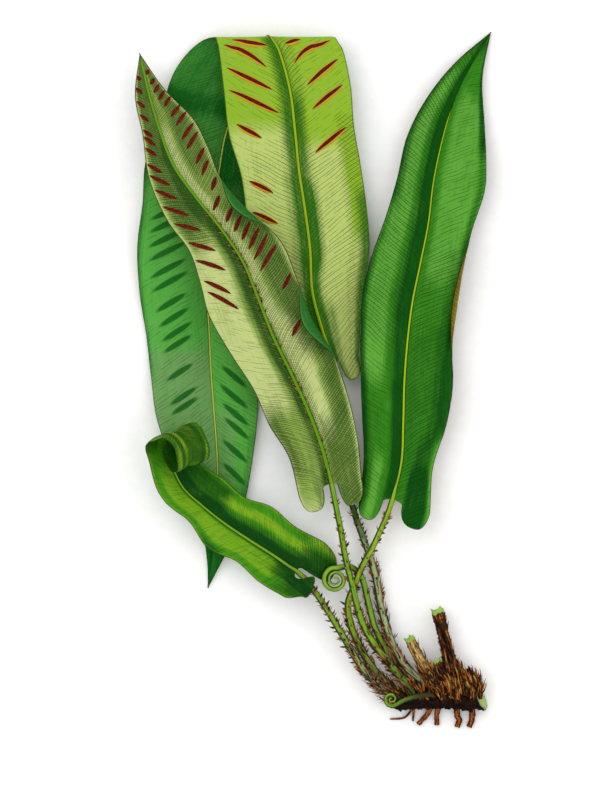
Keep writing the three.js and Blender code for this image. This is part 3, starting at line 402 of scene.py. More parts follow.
def half_columns(section):
    """Distances from the midrib: the rib's own, then even ones that shift to suit a turn."""
    width = section["width"][:, None]
    rib = RIB_COLUMNS * np.minimum(1, width / (3 * RIB_COLUMNS[-1]))
    start = rib[:, -1:]
    flat = np.maximum(section["flat"][:, None], start)
    even = start + (width - start) * EVEN_SHARES
    shifted = np.hstack([start + (flat - start) * FLAT_SHARES, flat + (width - flat) * TURN_SHARES])
    turned = section["turned"][:, None]
    return np.hstack([rib, even * (1 - turned) + shifted * turned])


def lobe_strips(frond, side, shares):
    """Rows of a base lobe from its lower end to the sinus: place, distances, edge distances."""
    lobe = frond["lobes"][side]
    shift = lobe["over"] * np.sin(np.pi * np.cos(LOBE_ANGLES) ** 2)
    broad = section_at(frond, side, np.zeros(1))["width"]
    rise = SINUS_SHARES * SINUS_RISE / frond["station_length"]
    t = np.concatenate([-lobe["length"] * np.cos(LOBE_ANGLES) / frond["station_length"], rise])
    reach = np.sin(LOBE_ANGLES) ** LOBE_ROUNDNESS
    inner = np.concatenate([
        lobe["centre"] - (lobe["centre"] - lobe["gap"]) * reach - shift,
        lobe["gap"] * np.sqrt(1 - SINUS_SHARES ** 2),
    ])
    outer = np.concatenate([
        lobe["centre"] + (broad - lobe["centre"]) * reach - shift / 2,
        section_at(frond, side, rise)["width"],
    ])
    q = inner[:, None] + (outer - inner)[:, None] * shares
    edge = np.minimum(outer[:, None] - q, q - inner[:, None])
    below = (t + lobe["length"] / frond["station_length"]) * frond["station_length"]
    return np.broadcast_to(t[:, None], q.shape), q, np.minimum(edge, below[:, None])


print("columns in half a blade:", len(RIB_COLUMNS) + len(EVEN_SHARES))

# %% [markdown]
# ## Rows and faces
# The full rows run from the notch to the tip, and the last strip of each lobe is the first full
# row, so that no seam is left. The two faces of the blade use the same layout of points, and a
# rim closes them wherever an edge belongs to one face alone.

# %% Blade layout
ROW_STEP = 0.9


def quads(ids, reverse):
    """The four-sided faces of a grid of point numbers."""
    corners = [ids[:-1, :-1], ids[:-1, 1:], ids[1:, 1:], ids[1:, :-1]]
    return np.stack(corners[::-1] if reverse else corners, -1).reshape(-1, 4)


def blade_layout(frond):
    """All points of one face as columns (side, t, q, distance to the margin), and its faces."""
    last = len(frond["stations"]) - 1
    places, along = distances(frond["stations"])
    first = SINUS_RISE / frond["station_length"]
    start = np.interp(first, places, along)
    t = np.interp(np.linspace(start, along[-1], int((along[-1] - start) / ROW_STEP)), along, places)
    t = np.append(t[:-1], last)
    grids = {}
    for side in (-1, 1):
        section = section_at(frond, side, t)
        q = half_columns(section)
        grids[side] = (t[:, None] + 0 * q, q, section["width"][:, None] - q)
    full = [np.hstack([left[:, :0:-1], right]) for left, right in zip(grids[-1], grids[1])]
    shape = full[0].shape
    middle = shape[1] // 2
    sides = np.sign(np.arange(shape[1]) - middle + 0.5)
    ids = np.arange(full[0].size).reshape(shape)
    stacks = [[column.ravel()] for column in (np.broadcast_to(sides, shape), *full)]
    faces = [quads(ids, False)]
    count = ids.size
    for side in (-1, 1):
        first_row = ids[0, middle:] if side > 0 else ids[0, middle::-1]
        shares = grids[side][1][0] / grids[side][1][0, -1]
        strips = lobe_strips(frond, side, shares)
        lobe_ids = count + np.arange(strips[0].size).reshape(strips[0].shape)
        count += strips[0].size
        for stack, values in zip(stacks, (np.full(strips[0].shape, side), *strips)):
            stack.append(values.ravel())
        faces.append(quads(np.vstack([lobe_ids, first_row]), side < 0))
    return [np.concatenate(stack) for stack in stacks], np.concatenate(faces)


def rim_faces(faces, count):
    """Faces that join the two layers wherever an edge belongs to one face alone."""
    edges = np.concatenate([faces[:, [k, (k + 1) % 4]] for k in range(4)])
    forward = edges[:, 0] * count + edges[:, 1]
    backward = edges[:, 1] * count + edges[:, 0]
    a, b = edges[~np.isin(forward, backward)].T
    return np.stack([b, a, a + count, b + count], -1)


print("rim faces round a sheet of 2 x 2 faces:",
      len(rim_faces(quads(np.arange(9).reshape(3, 3), False), 9)))

# %% [markdown]
# ## Where a blade gets painted shade, painted light or hatching
# A frond isn't one green. The deep patches are mostly painted shade: in the trough beside the
# midrib, under rolled and turned margins and on margins that bend away. The light patches are
# mostly painted light on the arch of each half, and a few are the tissue's own paler tone. The veins
# show more in some stretches than in others. Each such stretch is a soft-edged patch in the blade's
# own coordinates. Three sets of patches, each summed by itself, say how deep the painted shade, how
# strong the painted light and how hatched every point is.

# %% Tones
PATCH_SOFT = (0.32, 0.07)


def soft_step(x):
    """0 below -1, 1 above 1 and a smooth cubic between."""
    x = np.clip((x + 1) / 2, 0, 1)
    return x * x * (3 - 2 * x)


def patch(value, low, high, soft):
    """One half at low and at high, 1 a soft width inside them and 0 a soft width outside."""
    return soft_step((value - low) / soft) * soft_step((high - value) / soft)


# The deep patches are painted shade and the light ones mostly painted light.
def tone_of(patches, under, side, t, share):
    """
    The sum of the patches on one face and half, or on both halves where half is 0. Each patch is
    from t, to t, from share, to share and depth; -1 and 2 as shares reach past midrib and margin.
    """
    total = np.zeros_like(t)
    for (face, half), spots in patches.items():
        here = (under if face == "under" else ~under) & ((half == 0) | (side == half))
        for t_low, t_high, low, high, depth in spots:
            along = patch(t, t_low, t_high, PATCH_SOFT[0])
            total += depth * here * along * patch(share, low, high, PATCH_SOFT[1])
    return np.clip(total, 0, 1)


print("a patch at its edge and inside it:", patch(np.array([0.5, 1.0]), 0.5, 1.5, 0.1))

# %% [markdown]
# ## Where the sori lie
# The spore cases, the sori, sit in slanting lines between midrib and margin. A row of them is
# given by the places of its lines and by how far out its first and last lines reach. Each line
# is a straight spine in the blade's coordinates, so it follows every bend of the surface.

# %% Spines of the sori
SORUS = {"rings": 17, "shorter": 0.15}


def sori_spines(frond, seed):
    """Place and distance from the midrib along each sorus, from its outer to its inner end."""
    random = np.random.default_rng(seed)
    spines = []
    s = np.linspace(0, 1, SORUS["rings"])
    for side, outer, inner, slant, places in frond["sori"]:
        place = np.array(places, float)
        share = np.arange(len(place)) / (len(place) - 1)
        far = outer[0] + (outer[1] - outer[0]) * share
        near = inner[0] + (inner[1] - inner[0]) * share
        near = near + (far - near) * SORUS["shorter"] * random.random(len(place))
        width = section_at(frond, side, place)["seen"]
        run = width * (far - near) * np.tan(np.radians(slant)) / frond["station_length"]
        t = place[:, None] + run[:, None] * (0.5 - s)
        q = (far[:, None] + (near - far)[:, None] * s) * width[:, None]
        spines.append((side, t, q))
    return spines


# %% [markdown]
# ## Distances that the colours need
# The spore lines show through on the upper side as deep green bars, so each point knows how far
# it is from the nearest of them, as a share of the size of a long ellipse round it. It also
# knows how far it is from the midrib, as a share of the width of the midrib's painted line.

# %% Distances to bars and midrib
MARK = {"half_width": 1.6, "end": 2.2, "far": 3.0}
BEYOND_RIB = 3.0


def bar_distances(frond, side, q, millimetres, seed):
    """The distance to the nearest spore line, 1 on an ellipse round it and never above far."""
    places, along = distances(frond["stations"])
    nearest = np.full_like(q, MARK["far"])
    for half, spine_t, spine_q in sori_spines(frond, seed):
        on = np.flatnonzero(side == half)
        spine = np.stack([np.interp(spine_t, places, along), spine_q], -1)
        here = np.stack([millimetres[on], q[on]], -1)
        for start, stop in spine[:, [0, -1]]:
            length = np.linalg.norm(stop - start)
            way = (stop - start) / length
            aside = here - (start + stop) / 2
            lengthwise = (aside @ way) / (length / 2 + MARK["end"])
            sideways = (aside[:, 0] * way[1] - aside[:, 1] * way[0]) / MARK["half_width"]
            nearest[on] = np.minimum(nearest[on], np.hypot(sideways, lengthwise))
    return nearest


def rib_distances(frond, t, q):
    """Distance over the line's own half-width, and large below the blade and past its end."""
    base, tip, end = frond["rib"]
    half_width = base + (tip - base) * np.clip(t / end, 0, 1)
    lines = np.where(t < 0, BEYOND_RIB, q / half_width)
    return lines + BEYOND_RIB * np.clip(t - end, 0, 1)


# %% [markdown]
# ## Blade skin
# One call puts it all together for a frond: the two faces, which stand off the middle layer by
# half the thickness and less towards the margin, the round midrib that stands out of the
# underside, the shallow groove above it, and the attributes for the material.

# %% Blade skin
HALF_THICKNESS = 0.3
EDGE = {"thinning": 1.2, "thinnest": 0.12}
MIDRIB = {"base": 1.1, "tip": 0.3, "reach": 0.7, "groove": 0.25, "groove_reach": 0.45}


def blade_skin(frond, seed):
    """Points, faces and attributes of one blade: its coordinates, its tones, its face values."""
    (side, t, q, edge), faces = blade_layout(frond)
    middle, outward = np.empty((len(t), 3)), np.empty((len(t), 3))
    share = np.empty_like(t)
    for half in (-1, 1):
        on = side == half
        middle[on] = surface_at(frond, half, t[on], q[on])
        outward[on] = face_at(frond, half, t[on], q[on])
        share[on] = q[on] / section_at(frond, half, t[on])["width"]
    thickness = HALF_THICKNESS * np.sqrt(np.clip(edge / EDGE["thinning"], EDGE["thinnest"], 1))
    last = len(frond["stations"]) - 1
    rib = MIDRIB["base"] + (MIDRIB["tip"] - MIDRIB["base"]) * np.clip(t / last, 0, 1)
    raised = rib * (np.exp(-((q / MIDRIB["reach"]) ** 2)) * (t > 0))
    grooved = -MIDRIB["groove"] * np.exp(-((q / MIDRIB["groove_reach"]) ** 2))
    front, back = (raised, grooved) if frond["underside"] > 0 else (grooved, raised)
    points = np.concatenate([
        middle + outward * (thickness + front)[:, None],
        middle - outward * (thickness + back)[:, None],
    ])
    count = len(t)
    millimetres = np.where(t < 0, t * frond["station_length"],
                           np.interp(t, *distances(frond["stations"])))
    bars = bar_distances(frond, side, q, millimetres, seed)
    ribs = rib_distances(frond, t, q)
    is_under = np.repeat([frond["underside"] > 0, frond["underside"] < 0], count)
    side, t, share, bars, ribs = (np.tile(values, 2) for values in (side, t, share, bars, ribs))
    tones = [tone_of(frond[key], is_under, side, t, share) for key in ("deep", "light", "hatch")]
    leaf = np.stack([side[:count] * q, millimetres, edge], -1)
    attributes = {
        "leaf": np.concatenate([leaf, leaf]),
        "tone": np.stack(tones, -1),
        "face": np.stack([is_under, bars, ribs], -1),
    }
    all_faces = np.concatenate([faces, faces[:, ::-1] + count, rim_faces(faces, count)])
    return points, all_faces.tolist(), attributes


# %% [markdown]
# ## What describes a frond
# A frond is a dictionary of its driving places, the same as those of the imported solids: for each
# station x, y, z, bearing and tilt of the right half in degrees, and the left and right
# half-widths. Then come its camber, the side that is its underside, its two base lobes, the
# waves of its margins, its turned margins, its sori and its patches of colour.

# %% Frond values
def make_frond(stations, camber, underside, lobes, waves, **more):
    """A frond as a dictionary. -1 is its left half, 1 its right half and 0 both."""
    names = ("length", "centre", "gap", "over", "lift")
    frond = {
        "stations": np.array(stations, float), "camber": camber, "underside": underside,
        "lobes": {side: dict(zip(names, lobes[side])) for side in (-1, 1)}, "waves": waves,
        "turns": [], "sori": [], "calm": np.ones_like,
    }
    first, second = frond["stations"][:2, :3]
    frond["station_length"] = np.linalg.norm(second - first)
    frond.update(more)
    return frond


def turn(side, at, reach, width, angle):
    """A turned margin: round which place, how far either way, how wide and how far over."""
    return {"side": side, "at": at, "reach": reach, "width": width, "angle": angle}


# %% [markdown]
# ## Right frond
# A mature frond that shows its upper side, with one narrow strip of the right margin turned
# over. Its patches paint shade left of the midrib and light on the arches.

# %% Right frond
right_frond = make_frond(
    [[-24.5, 98.5, 11, -14, 0, 16, 20], [-19.5, 118.5, 12, -8, -2, 19, 16],
     [-18.5, 138.5, 12, -3, -4, 20.5, 21.5], [-18, 158.5, 12, -3, -6, 22, 24],
     [-16.5, 178.5, 12, -6, -7, 24, 22.3], [-14, 198.5, 12, -9, -7, 25.5, 22],
     [-10, 218, 11.5, -9, -6, 24.8, 21], [-6, 238, 10.5, -9, -4, 21.8, 22],
     [-3.5, 258, 9, -9, -2, 18.3, 25.9], [0.5, 277.5, 7, -14, 0, 17.5, 23],
     [6, 296.5, 5, -20, 0, 13.3, 17], [14.5, 315, 3, -27, 0, 7.8, 7.5],
     [25.5, 334, 1, -30, 0, 0, 0]],
    camber=3, underside=-1,
    lobes={-1: (11.2, 10, 4.3, 0, 0), 1: (9, 14, 5.6, 0, 0)},
    waves={-1: (1.2, 0.3, 0.4), 1: (1.6, 0.34, 2)},
    turns=[turn(1, 5.2, 2, 5.6, 150)], rib=(0.6, 0.3, 9.6),
    # Deep patches are painted shade, light patches mostly painted light.
    deep={
        ("upper", -1): [(4, 13, -1, 0.27, 1), (3, 12.5, 0.2, 0.38, 0.45), (0.3, 4, -1, 0.24, 0.85),
                        (-1, 6, 0.92, 2, 0.7), (7.4, 13, 0.8, 2, 0.55), (-2, 13, 0.95, 2, 0.55),
                        (-2, 3, -1, 0.34, 0.7), (-2, 3.4, 0.82, 2, 0.5)],
        ("upper", 1): [(-0.5, 9, -1, 0.035, 0.7), (1.7, 4.7, 0.76, 2, 0.85), (1.4, 5, 0.6, 0.8, 0.3),
                       (-2, 0.9, 0.3, 0.88, 1), (0.4, 1.6, 0.42, 0.86, 0.5), (4.4, 6.8, 0.78, 2, 0.8),
                       (1.4, 6.4, 0.58, 0.78, 0.3), (9, 13, 0.84, 2, 0.9), (1, 4.6, 0.08, 0.6, 0.22)],
        ("under", 1): [(3, 9, 0.94, 2, 0.8), (3, 9, -1, 0.8, 0.7)],
        ("upper", 0): [(11.4, 13, -1, 2, 0.8)],
    },
    light={
        ("upper", -1): [(3, 10.8, 0.48, 0.9, 0.8), (-2, 1.1, 0.5, 0.74, 0.8)],
        ("upper", 1): [(5.6, 10.4, 0.16, 0.84, 0.7), (-2, 1.7, 0.93, 2, 0.9)],
    },
    hatch={
        ("upper", -1): [(4, 12, 0.2, 2, 0.9), (0, 4, 0.4, 2, 0.5)],
        ("upper", 1): [(0, 6.5, 0.04, 0.8, 0.8), (6.5, 12, 0.84, 2, 1), (6.5, 11, 0.04, 0.8, 0.35)],
        ("under", 0): [(0, 13, -1, 2, 1)],
    },
)
print("right frond stations:", len(right_frond["stations"]))

# %% [markdown]
# ## Front frond
# A fertile frond that shows its pale underside, with sori in two rows. Twice its margin is
# turned over so far that the green upper side shows.

# %% Front frond
front_frond = make_frond(
    [[-54, 106.5, 20, 14, 0, 17.2, 15.3], [-59, 126, 22.5, 16, 0, 17.2, 18.5],
     [-66, 145, 24, 22, 0, 20.8, 21.3], [-74.5, 163.5, 24, 25, 0, 20.5, 23],
     [-83.5, 182, 24, 24, 0, 23, 21], [-91, 201, 24, 22, 0, 26, 21.5],
     [-98.5, 219, 24, 28, 0, 24, 21.5], [-109.5, 235.5, 24, 36, 0, 19.5, 16],
     [-121.5, 250.5, 23.5, 37, 0, 18.5, 15.5], [-133, 267, 22, 28, 0, 14, 19.5],
     [-140, 285, 20, 19, 0, 9, 17.5], [-145.5, 303.5, 17, 15, 0, 7, 8],
     [-150, 323, 14, 13, 0, 0, 0]],
    camber=-3, underside=1,
    lobes={-1: (10.6, 11, 4.5, 0, 0), 1: (11.6, 7, 3, 0, 0)},
    waves={-1: (1.6, 0.3, 0), 1: (1.5, 0.31, 1.2)},
    turns=[turn(1, 3.9, 1.4, 10.3, 150), turn(1, 7.2, 1.1, 9, 150)],
    sori=[(-1, (0.87, 0.9), (0.4, 0.48), 54, [5.3, 5.7, 6.35, 6.9, 7.55, 8.05, 8.5, 8.85, 9.15,
                                              9.55, 9.8, 10, 10.4, 10.75, 11.1, 11.4]),
          (1, (0.76, 0.92), (0.38, 0.54), 40, [3.95, 5.1]),
          (1, (0.87, 0.66), (0.24, 0.16), 32, [5.8, 6.1, 6.35, 6.6, 6.85, 7.15, 7.6]),
          (1, (0.92, 0.92), (0.46, 0.44), 38, [8.05, 8.55, 8.9, 9.4, 9.7, 10.1, 10.35]),
          (1, (0.88, 0.74), (0.44, 0.14), 44, [10.65, 10.85, 11.05, 11.25, 11.5])],
    sori_width=1.15, rib=(0.46, 0.3, 11.6),
    # Deep patches are painted shade, light patches mostly painted light.
    deep={
        ("under", -1): [(7.2, 12, -1, 0.8, 0.65), (2, 9.6, -1, 0.2, 0.95), (3, 8.6, 0.16, 0.3, 0.45),
                        (-0.2, 2.2, -1, 0.2, 0.7), (0.6, 2.2, 0.76, 2, 0.55),
                        (-2, 0.4, -1, 0.5, 0.35)],
        ("under", 1): [(8.4, 12, 0.34, 0.88, 0.55), (3.2, 7.3, 0.36, 0.88, 0.62),
                       (1.6, 3.6, 0.62, 0.9, 0.6), (-2, 1.7, 0.14, 0.88, 0.5)],
        ("upper", 0): [(-2, 13, -1, 0.86, 0.35)],
    },
    light={
        ("under", -1): [(2.2, 6.8, 0.34, 2, 0.95), (-2, -0.3, 0.35, 2, 0.8)],
        ("under", 1): [(1.2, 4.4, 0.08, 0.48, 1), (4.4, 10, -1, 0.24, 0.85)],
        ("under", 0): [(-2, 12, 0.92, 2, 0.6)],
    },
    hatch={
        ("under", 0): [(-2, 12, -1, 0.22, 1)],
        ("under", -1): [(6.8, 12, 0, 0.9, 1), (0.3, 2.6, 0.55, 2, 1), (-1, 3, 0.1, 0.5, 0.6)],
        ("under", 1): [(3.2, 7.6, 0.24, 0.95, 1), (-2, 3.2, 0.5, 0.95, 1), (-2, 1.6, 0.1, 0.95, 1),
                       (7.6, 12, 0.25, 2, 0.85)],
    },
)
print("front frond stations:", len(front_frond["stations"]))

# %% [markdown]
# ## Back frond
# The longest frond rises with its underside showing, folds over at the top and hangs back down
# with its upper side showing. The fold is nothing but stations close together on a half circle.
# Camber and waves are calmed there, because a leaf that is bent one way can't bend the other.

# %% Back frond
FOLD = {"at": 10, "reach": 1.6, "hold": 0.9}
back_frond = make_frond(
    [[-52.5, 167, 11.5, 22, 0, 15, 12.5], [-59, 185, 12.5, 19, -6, 21, 21],
     [-64, 204.5, 13, 9, -6, 27, 27], [-65, 224.5, 13, 5, -6, 30, 30],
     [-67.5, 244.5, 13.5, 8, -4, 29.5, 31], [-70.5, 264.5, 14, 6, -2, 29, 31],
     [-72.5, 284.5, 14.5, 4, 0, 33, 29.5], [-75, 304.5, 14.8, 2, 0, 33, 30.5],
     [-80, 323, 14.7, 0, 0, 30.3, 32], [-83.5, 329, 13.4, 0, 0, 28, 32.5],
     [-86, 331.3, 8.7, 0, 0, 27, 32.5], [-88, 329, 4, 0, 0, 32, 30],
     [-91.5, 320, 2.8, 0, 0, 37.5, 27.5], [-99.5, 302, 3, -8, 0, 36.5, 25],
     [-107, 283.5, 3, -12, 0, 33, 26], [-110.5, 264, 3, -9, 0, 37, 27.5],
     [-113.5, 244, 3, -7, -3, 35.5, 27.5], [-115.5, 224, 3, -4, -5, 36, 27],
     [-116.5, 204, 3, 0, -6, 33.5, 26], [-115.5, 184, 3, 3, -6, 31, 25],
     [-114.5, 164, 3, 3.5, -5, 30, 23.5], [-113, 144, 3, 4, -3, 29, 22],
     [-111.5, 124, 3, 3, 0, 24, 18.5], [-111, 104, 3, -1, 0, 17, 14.5],
     [-112.5, 85, 3, -6, 0, 7, 11], [-114.5, 70, 2.2, -7, 0, 2, 5.5],
     [-116, 56, 0.8, -6, 0, 0, 0]],
    camber=-2.7, underside=1,
    lobes={-1: (9, 8, 4, 0, 0), 1: (10, 6, 2.6, 0, 0)},
    waves={-1: (1, 0.27, 1), 1: (1.3, 0.29, 2.6)},
    turns=[turn(-1, 18.8, 2.4, 9, 55)],
    calm=lambda t: 1 - FOLD["hold"] * np.exp(-(((t - FOLD["at"]) / FOLD["reach"]) ** 2)),
    sori=[(-1, (0.89, 0.87), (0.42, 0.46), 31, [3.95, 4.7, 6.05]),
          (-1, (0.91, 0.89), (0.18, 0.26), 27, [6.75, 7.3]),
          (-1, (0.87, 0.7), (0.2, 0.1), 46, [8.05, 8.9]),
          (1, (0.87, 0.9), (0.3, 0.18), 34, [5.7, 6.8, 7.45]),
          (1, (0.9, 0.45), (0.14, 0.12), 50, [8.4, 9]),
          (-1, (0.84, 0.68), (0.36, 0.26), 28, [16.1, 16.4, 16.75, 17.05, 17.45, 17.75, 18.25,
                                               18.6, 18.95, 19.25, 19.95, 20.55, 20.8]),
          (1, (0.7, 0.78), (0.2, 0.22), 44, [20.15, 20.65, 21.1, 21.45, 22, 22.55])],
    sori_width=1.7, rib=(0.4, 0.36, 23.4),
    # Deep patches are painted shade, light patches mostly painted light.
    deep={
        ("under", -1): [(-2, 9.6, -1, 0.16, 0.9), (2.5, 5, 0.1, 0.3, 0.3)],
        ("under", 1): [(-2, 6.9, -1, 0.17, 0.9), (6.9, 9.6, -1, 0.05, 0.6), (-2, 4.3, 0.86, 2, 0.85),
                       (2.6, 4.6, -1, 0.24, 0.5)],
        ("under", 0): [(-2, 1.6, -1, 0.4, 0.5)],
        ("upper", 0): [(10, 13.6, -1, 2, 0.7), (13.2, 15.3, -1, 2, 0.5), (23.4, 27, -1, 2, 1)],
        ("upper", 1): [(9, 15, -1, 0.24, 0.6), (14, 17.6, -1, 2, 0.55), (21.6, 24, 0.8, 2, 0.4)],
        ("upper", -1): [(13, 20, 0.95, 2, 0.9)],
    },
    light={
        ("under", -1): [(6.1, 11, -1, 2, 1)],
        ("under", 1): [(5.6, 11, -1, 0.76, 1), (3.2, 11, 0.74, 2, 1)],
        ("upper", -1): [(19.4, 23, 0, 2, 0.8)],
        ("upper", 1): [(21, 23.4, 0, 0.5, 0.6)],
    },
    hatch={
        ("under", 0): [(-2, 10, -1, 0.24, 1), (-2, 5.6, 0.2, 0.8, 0.6)],
        ("under", 1): [(-2, 6.4, 0.7, 2, 1)],
        ("upper", 0): [(11, 15.5, 0, 2, 0.6), (19, 23, 0, 2, 0.25)],
    },
)
print("back frond stations:", len(back_frond["stations"]))

# %% [markdown]
# ## Young frond
# The tip of the young frond is still rolled up. Placing its stations by eye would give a lumpy
# roll, so they are worked out on a spiral that tightens evenly.

# %% Scroll of the young frond
UP = np.array([0.0, 0.0, 1.0])
YOUNG_STATIONS = [
    [-70.5, 63.5, 12.5, 55, 0, 14, 20], [-82.5, 72, 13, 56, 0, 15, 18],
    [-95, 80, 13, 57, 0, 12.5, 20], [-107, 88, 13, 54, 0, 15, 16.5],
    [-118.5, 97, 13.5, 50, -5, 10.5, 17], [-129, 107, 15, 40, -18, 12.5, 16],
]
SCROLL = {
    "start": (-135.3, 121.7, 17), "bearing": 20, "tilt": -38, "radius": 10.5, "tightening": 0.658,
    "step": 60, "swell": 0.8,
    "widths": [(13, 14), (13.5, 12.5), (12, 12), (10.5, 11.5), (9, 10.5), (7.5, 9), (6, 7.5),
               (4.8, 6), (3.4, 4.4), (0, 0)],
}


def scroll_stations():
    """
    Stations on a spiral in the plane square to the blade's right half: the radius shrinks evenly
    with the angle wound, ahead = r sin + k (1 - cos), rise = R - r cos - k sin.
    """
    bearing, tilt = np.radians(SCROLL["bearing"]), np.radians(SCROLL["tilt"])
    level = np.cos(tilt)
    axis = np.array([np.cos(bearing) * level, np.sin(bearing) * level, np.sin(tilt)])
    forward = unit(np.cross(UP, axis))
    upward = np.cross(axis, forward)
    wound = np.radians(SCROLL["step"] * np.arange(len(SCROLL["widths"])))
    k = SCROLL["tightening"]
    radius = SCROLL["radius"] - k * wound
    ahead = radius * np.sin(wound) + k * (1 - np.cos(wound))
    rise = SCROLL["radius"] - radius * np.cos(wound) - k * np.sin(wound)
    places = np.array(SCROLL["start"]) + ahead[:, None] * forward + rise[:, None] * upward
    turned = np.broadcast_to([SCROLL["bearing"], SCROLL["tilt"]], (len(wound), 2))
    return np.hstack([places, turned, SCROLL["widths"]])


print("stations on the scroll:", len(scroll_stations()))

# %% [markdown]
# ## The young frond's values and the four lengths
# Its stations are the open part and then the scroll. There calm goes below zero, so that camber
# and waves bend the other way, as in a leaf that is rolled inwards. With all four fronds in
# place, the lengths along their midribs are measured.

# %% Young frond
young_frond = make_frond(
    np.vstack([YOUNG_STATIONS, scroll_stations()]),
    camber=3, underside=-1,
    lobes={-1: (10, 4.5, 2.6, 6, 9), 1: (15, 6, 3, 0, -9)}, rib=(0.7, 0.45, 6.2),
    waves={-1: (1.8, 0.5, 0), 1: (1.8, 0.5, 2)},
    calm=lambda t: 1 - (1 + SCROLL["swell"]) * np.clip((t - len(YOUNG_STATIONS) + 1) / 2, 0, 1),
    # Deep patches are painted shade, light patches mostly painted light.
    deep={
        ("upper", 1): [(0, 5.6, -1, 0.3, 1), (0, 3.6, 0.26, 0.42, 0.4), (3.4, 5.8, 0.2, 0.9, 0.75),
                       (-2, 0.3, 0.1, 0.7, 0.75)],
        ("upper", -1): [(-1, 0.9, -1, 0.5, 0.8), (0, 6, -1, 0.08, 0.8), (2.6, 3.4, 0.8, 2, 0.7),
                        (-2, 0.2, 0.2, 0.85, 0.75)],
        ("upper", 0): [(6.4, 8, 0.4, 2, 0.6), (8.6, 16, -1, 2, 0.8)],
        ("under", 0): [(6.4, 16, 0.5, 0.72, 0.75), (8, 16, 0.86, 2, 0.6), (-3, 1, -1, 2, 0.6)],
        ("under", 1): [(7.5, 10, -1, 0.5, 0.7)],
        ("under", -1): [(6, 16, -1, 0.3, 0.6)],
    },
    light={
        ("upper", -1): [(0.7, 5.6, 0.14, 0.7, 0.7)],
        ("upper", 1): [(0.2, 3.6, 0.5, 0.74, 0.85), (-2, 0.3, 0.8, 2, 0.9)],
        ("under", -1): [(6, 9, 0.3, 0.62, 0.7)],
        ("under", 1): [(6, 8.4, 0.1, 0.45, 0.6)],
        ("under", 0): [(9, 16, 0.7, 0.86, 0.5)],
    },
    hatch={
        ("upper", 1): [(-1, 5.5, -1, 0.5, 0.6)],
        ("upper", 0): [(-2, 0.7, 0, 2, 0.9)],
        ("under", 0): [(5, 16, -1, 2, 0.6)],
    },
)
FRONDS = {"right": right_frond, "front": front_frond, "back": back_frond, "young": young_frond}
for name, frond in FRONDS.items():
    print(name, "midrib length in mm:", round(float(distances(frond["stations"])[1][-1])))

# %% [markdown]
# ## Colours and nodes
# Colours are written as they look on a screen and turned into the linear values that the shader
# wants. A material is a small graph of nodes, and a few helpers keep it readable: one adds a
# node and links what it is given, one does sums, one mixes two colours, one softens a limit.

# %% Colours and nodes
TINT_STRENGTH = 0.91


def tint(text):
    """A screen colour such as 4f9a30 as linear red, green, blue and 1, for this bright light."""
    values = np.array([int(text[i:i + 2], 16) for i in (0, 2, 4)]) / 255
    linear = np.where(values <= 0.04045, values / 12.92, ((values + 0.055) / 1.055) ** 2.4)
    return (*(TINT_STRENGTH * linear).tolist(), 1.0)


def add(tree, kind, inputs, **settings):
    """A node with its settings; each input is set to a value or linked to another's output."""
    made = tree.nodes.new(kind)
    for key, value in settings.items():
        setattr(made, key, value)
    for key, value in inputs.items():
        if isinstance(value, bpy.types.NodeSocket):
            tree.links.new(value, made.inputs[key])
        else:
            made.inputs[key].default_value = value
    return made


def calc(tree, operation, *values, clamp=False):
    """The output of one sum."""
    inputs = dict(enumerate(values))
    return add(tree, "ShaderNodeMath", inputs, operation=operation, use_clamp=clamp).outputs[0]


def mixed(tree, factor, first, second):
    """The first colour going over to the second as the factor goes from 0 to 1."""
    inputs = {0: factor, 6: first, 7: second}
    return add(tree, "ShaderNodeMix", inputs, data_type="RGBA").outputs[2]


def ramp(tree, value, low, high, start=0.0, stop=1.0):
    """Start below low, stop above high and a smooth change between."""
    inputs = {"Value": value, "From Min": low, "From Max": high, "To Min": start, "To Max": stop}
    made = add(tree, "ShaderNodeMapRange", inputs, interpolation_type="SMOOTHSTEP")
    return made.outputs["Result"]


print("leaf green in linear values:", [round(value, 3) for value in tint("307a12")])

# %% [markdown]
# ## Reading the points and sharing effects
# The blade's own coordinates reach the shader as attributes. An effect that several materials
# use is a node group with named sockets, built once. Each material starts from the same empty
# graph, with its plain values on the shader's own sockets.

# %% Attributes, groups and empty materials
def attribute(tree, name):
    """The three values stored on the points under a name, and the same as one vector."""
    read = add(tree, "ShaderNodeAttribute", {}, attribute_name=name).outputs["Vector"]
    return list(add(tree, "ShaderNodeSeparateXYZ", {0: read}).outputs), read


def new_group(name, inputs, outputs):
    """An empty node group with named number or vector sockets."""
    group = bpy.data.node_groups.new(name, "ShaderNodeTree")
    for way, sockets in (("INPUT", inputs), ("OUTPUT", outputs)):
        for label, kind in sockets.items():
            group.interface.new_socket(label, in_out=way, socket_type=f"NodeSocket{kind}")
    entry = group.nodes.new("NodeGroupInput").outputs
    return group, entry, group.nodes.new("NodeGroupOutput").inputs


def use(tree, group, inputs):
    """The outputs of a shared effect placed in a material with its own values."""
    return add(tree, "ShaderNodeGroup", inputs, node_tree=group).outputs


def new_material(name, roughness, gloss):
    """An empty material, its node tree and its shader, with the constants on the shader."""
    material = bpy.data.materials.new(name)
    material.use_nodes = True
    shader = material.node_tree.nodes["Principled BSDF"]
    shader.inputs["Roughness"].default_value = roughness
    shader.inputs["Specular IOR Level"].default_value = gloss
    return material, material.node_tree, shader


def relief(tree, shader, height, strength, distance):
    """Fine relief: a height in the shader's normal."""
    bump = add(tree, "ShaderNodeBump", {"Strength": strength, "Distance": distance, "Height": height})
    tree.links.new(bump.outputs[0], shader.inputs["Normal"])


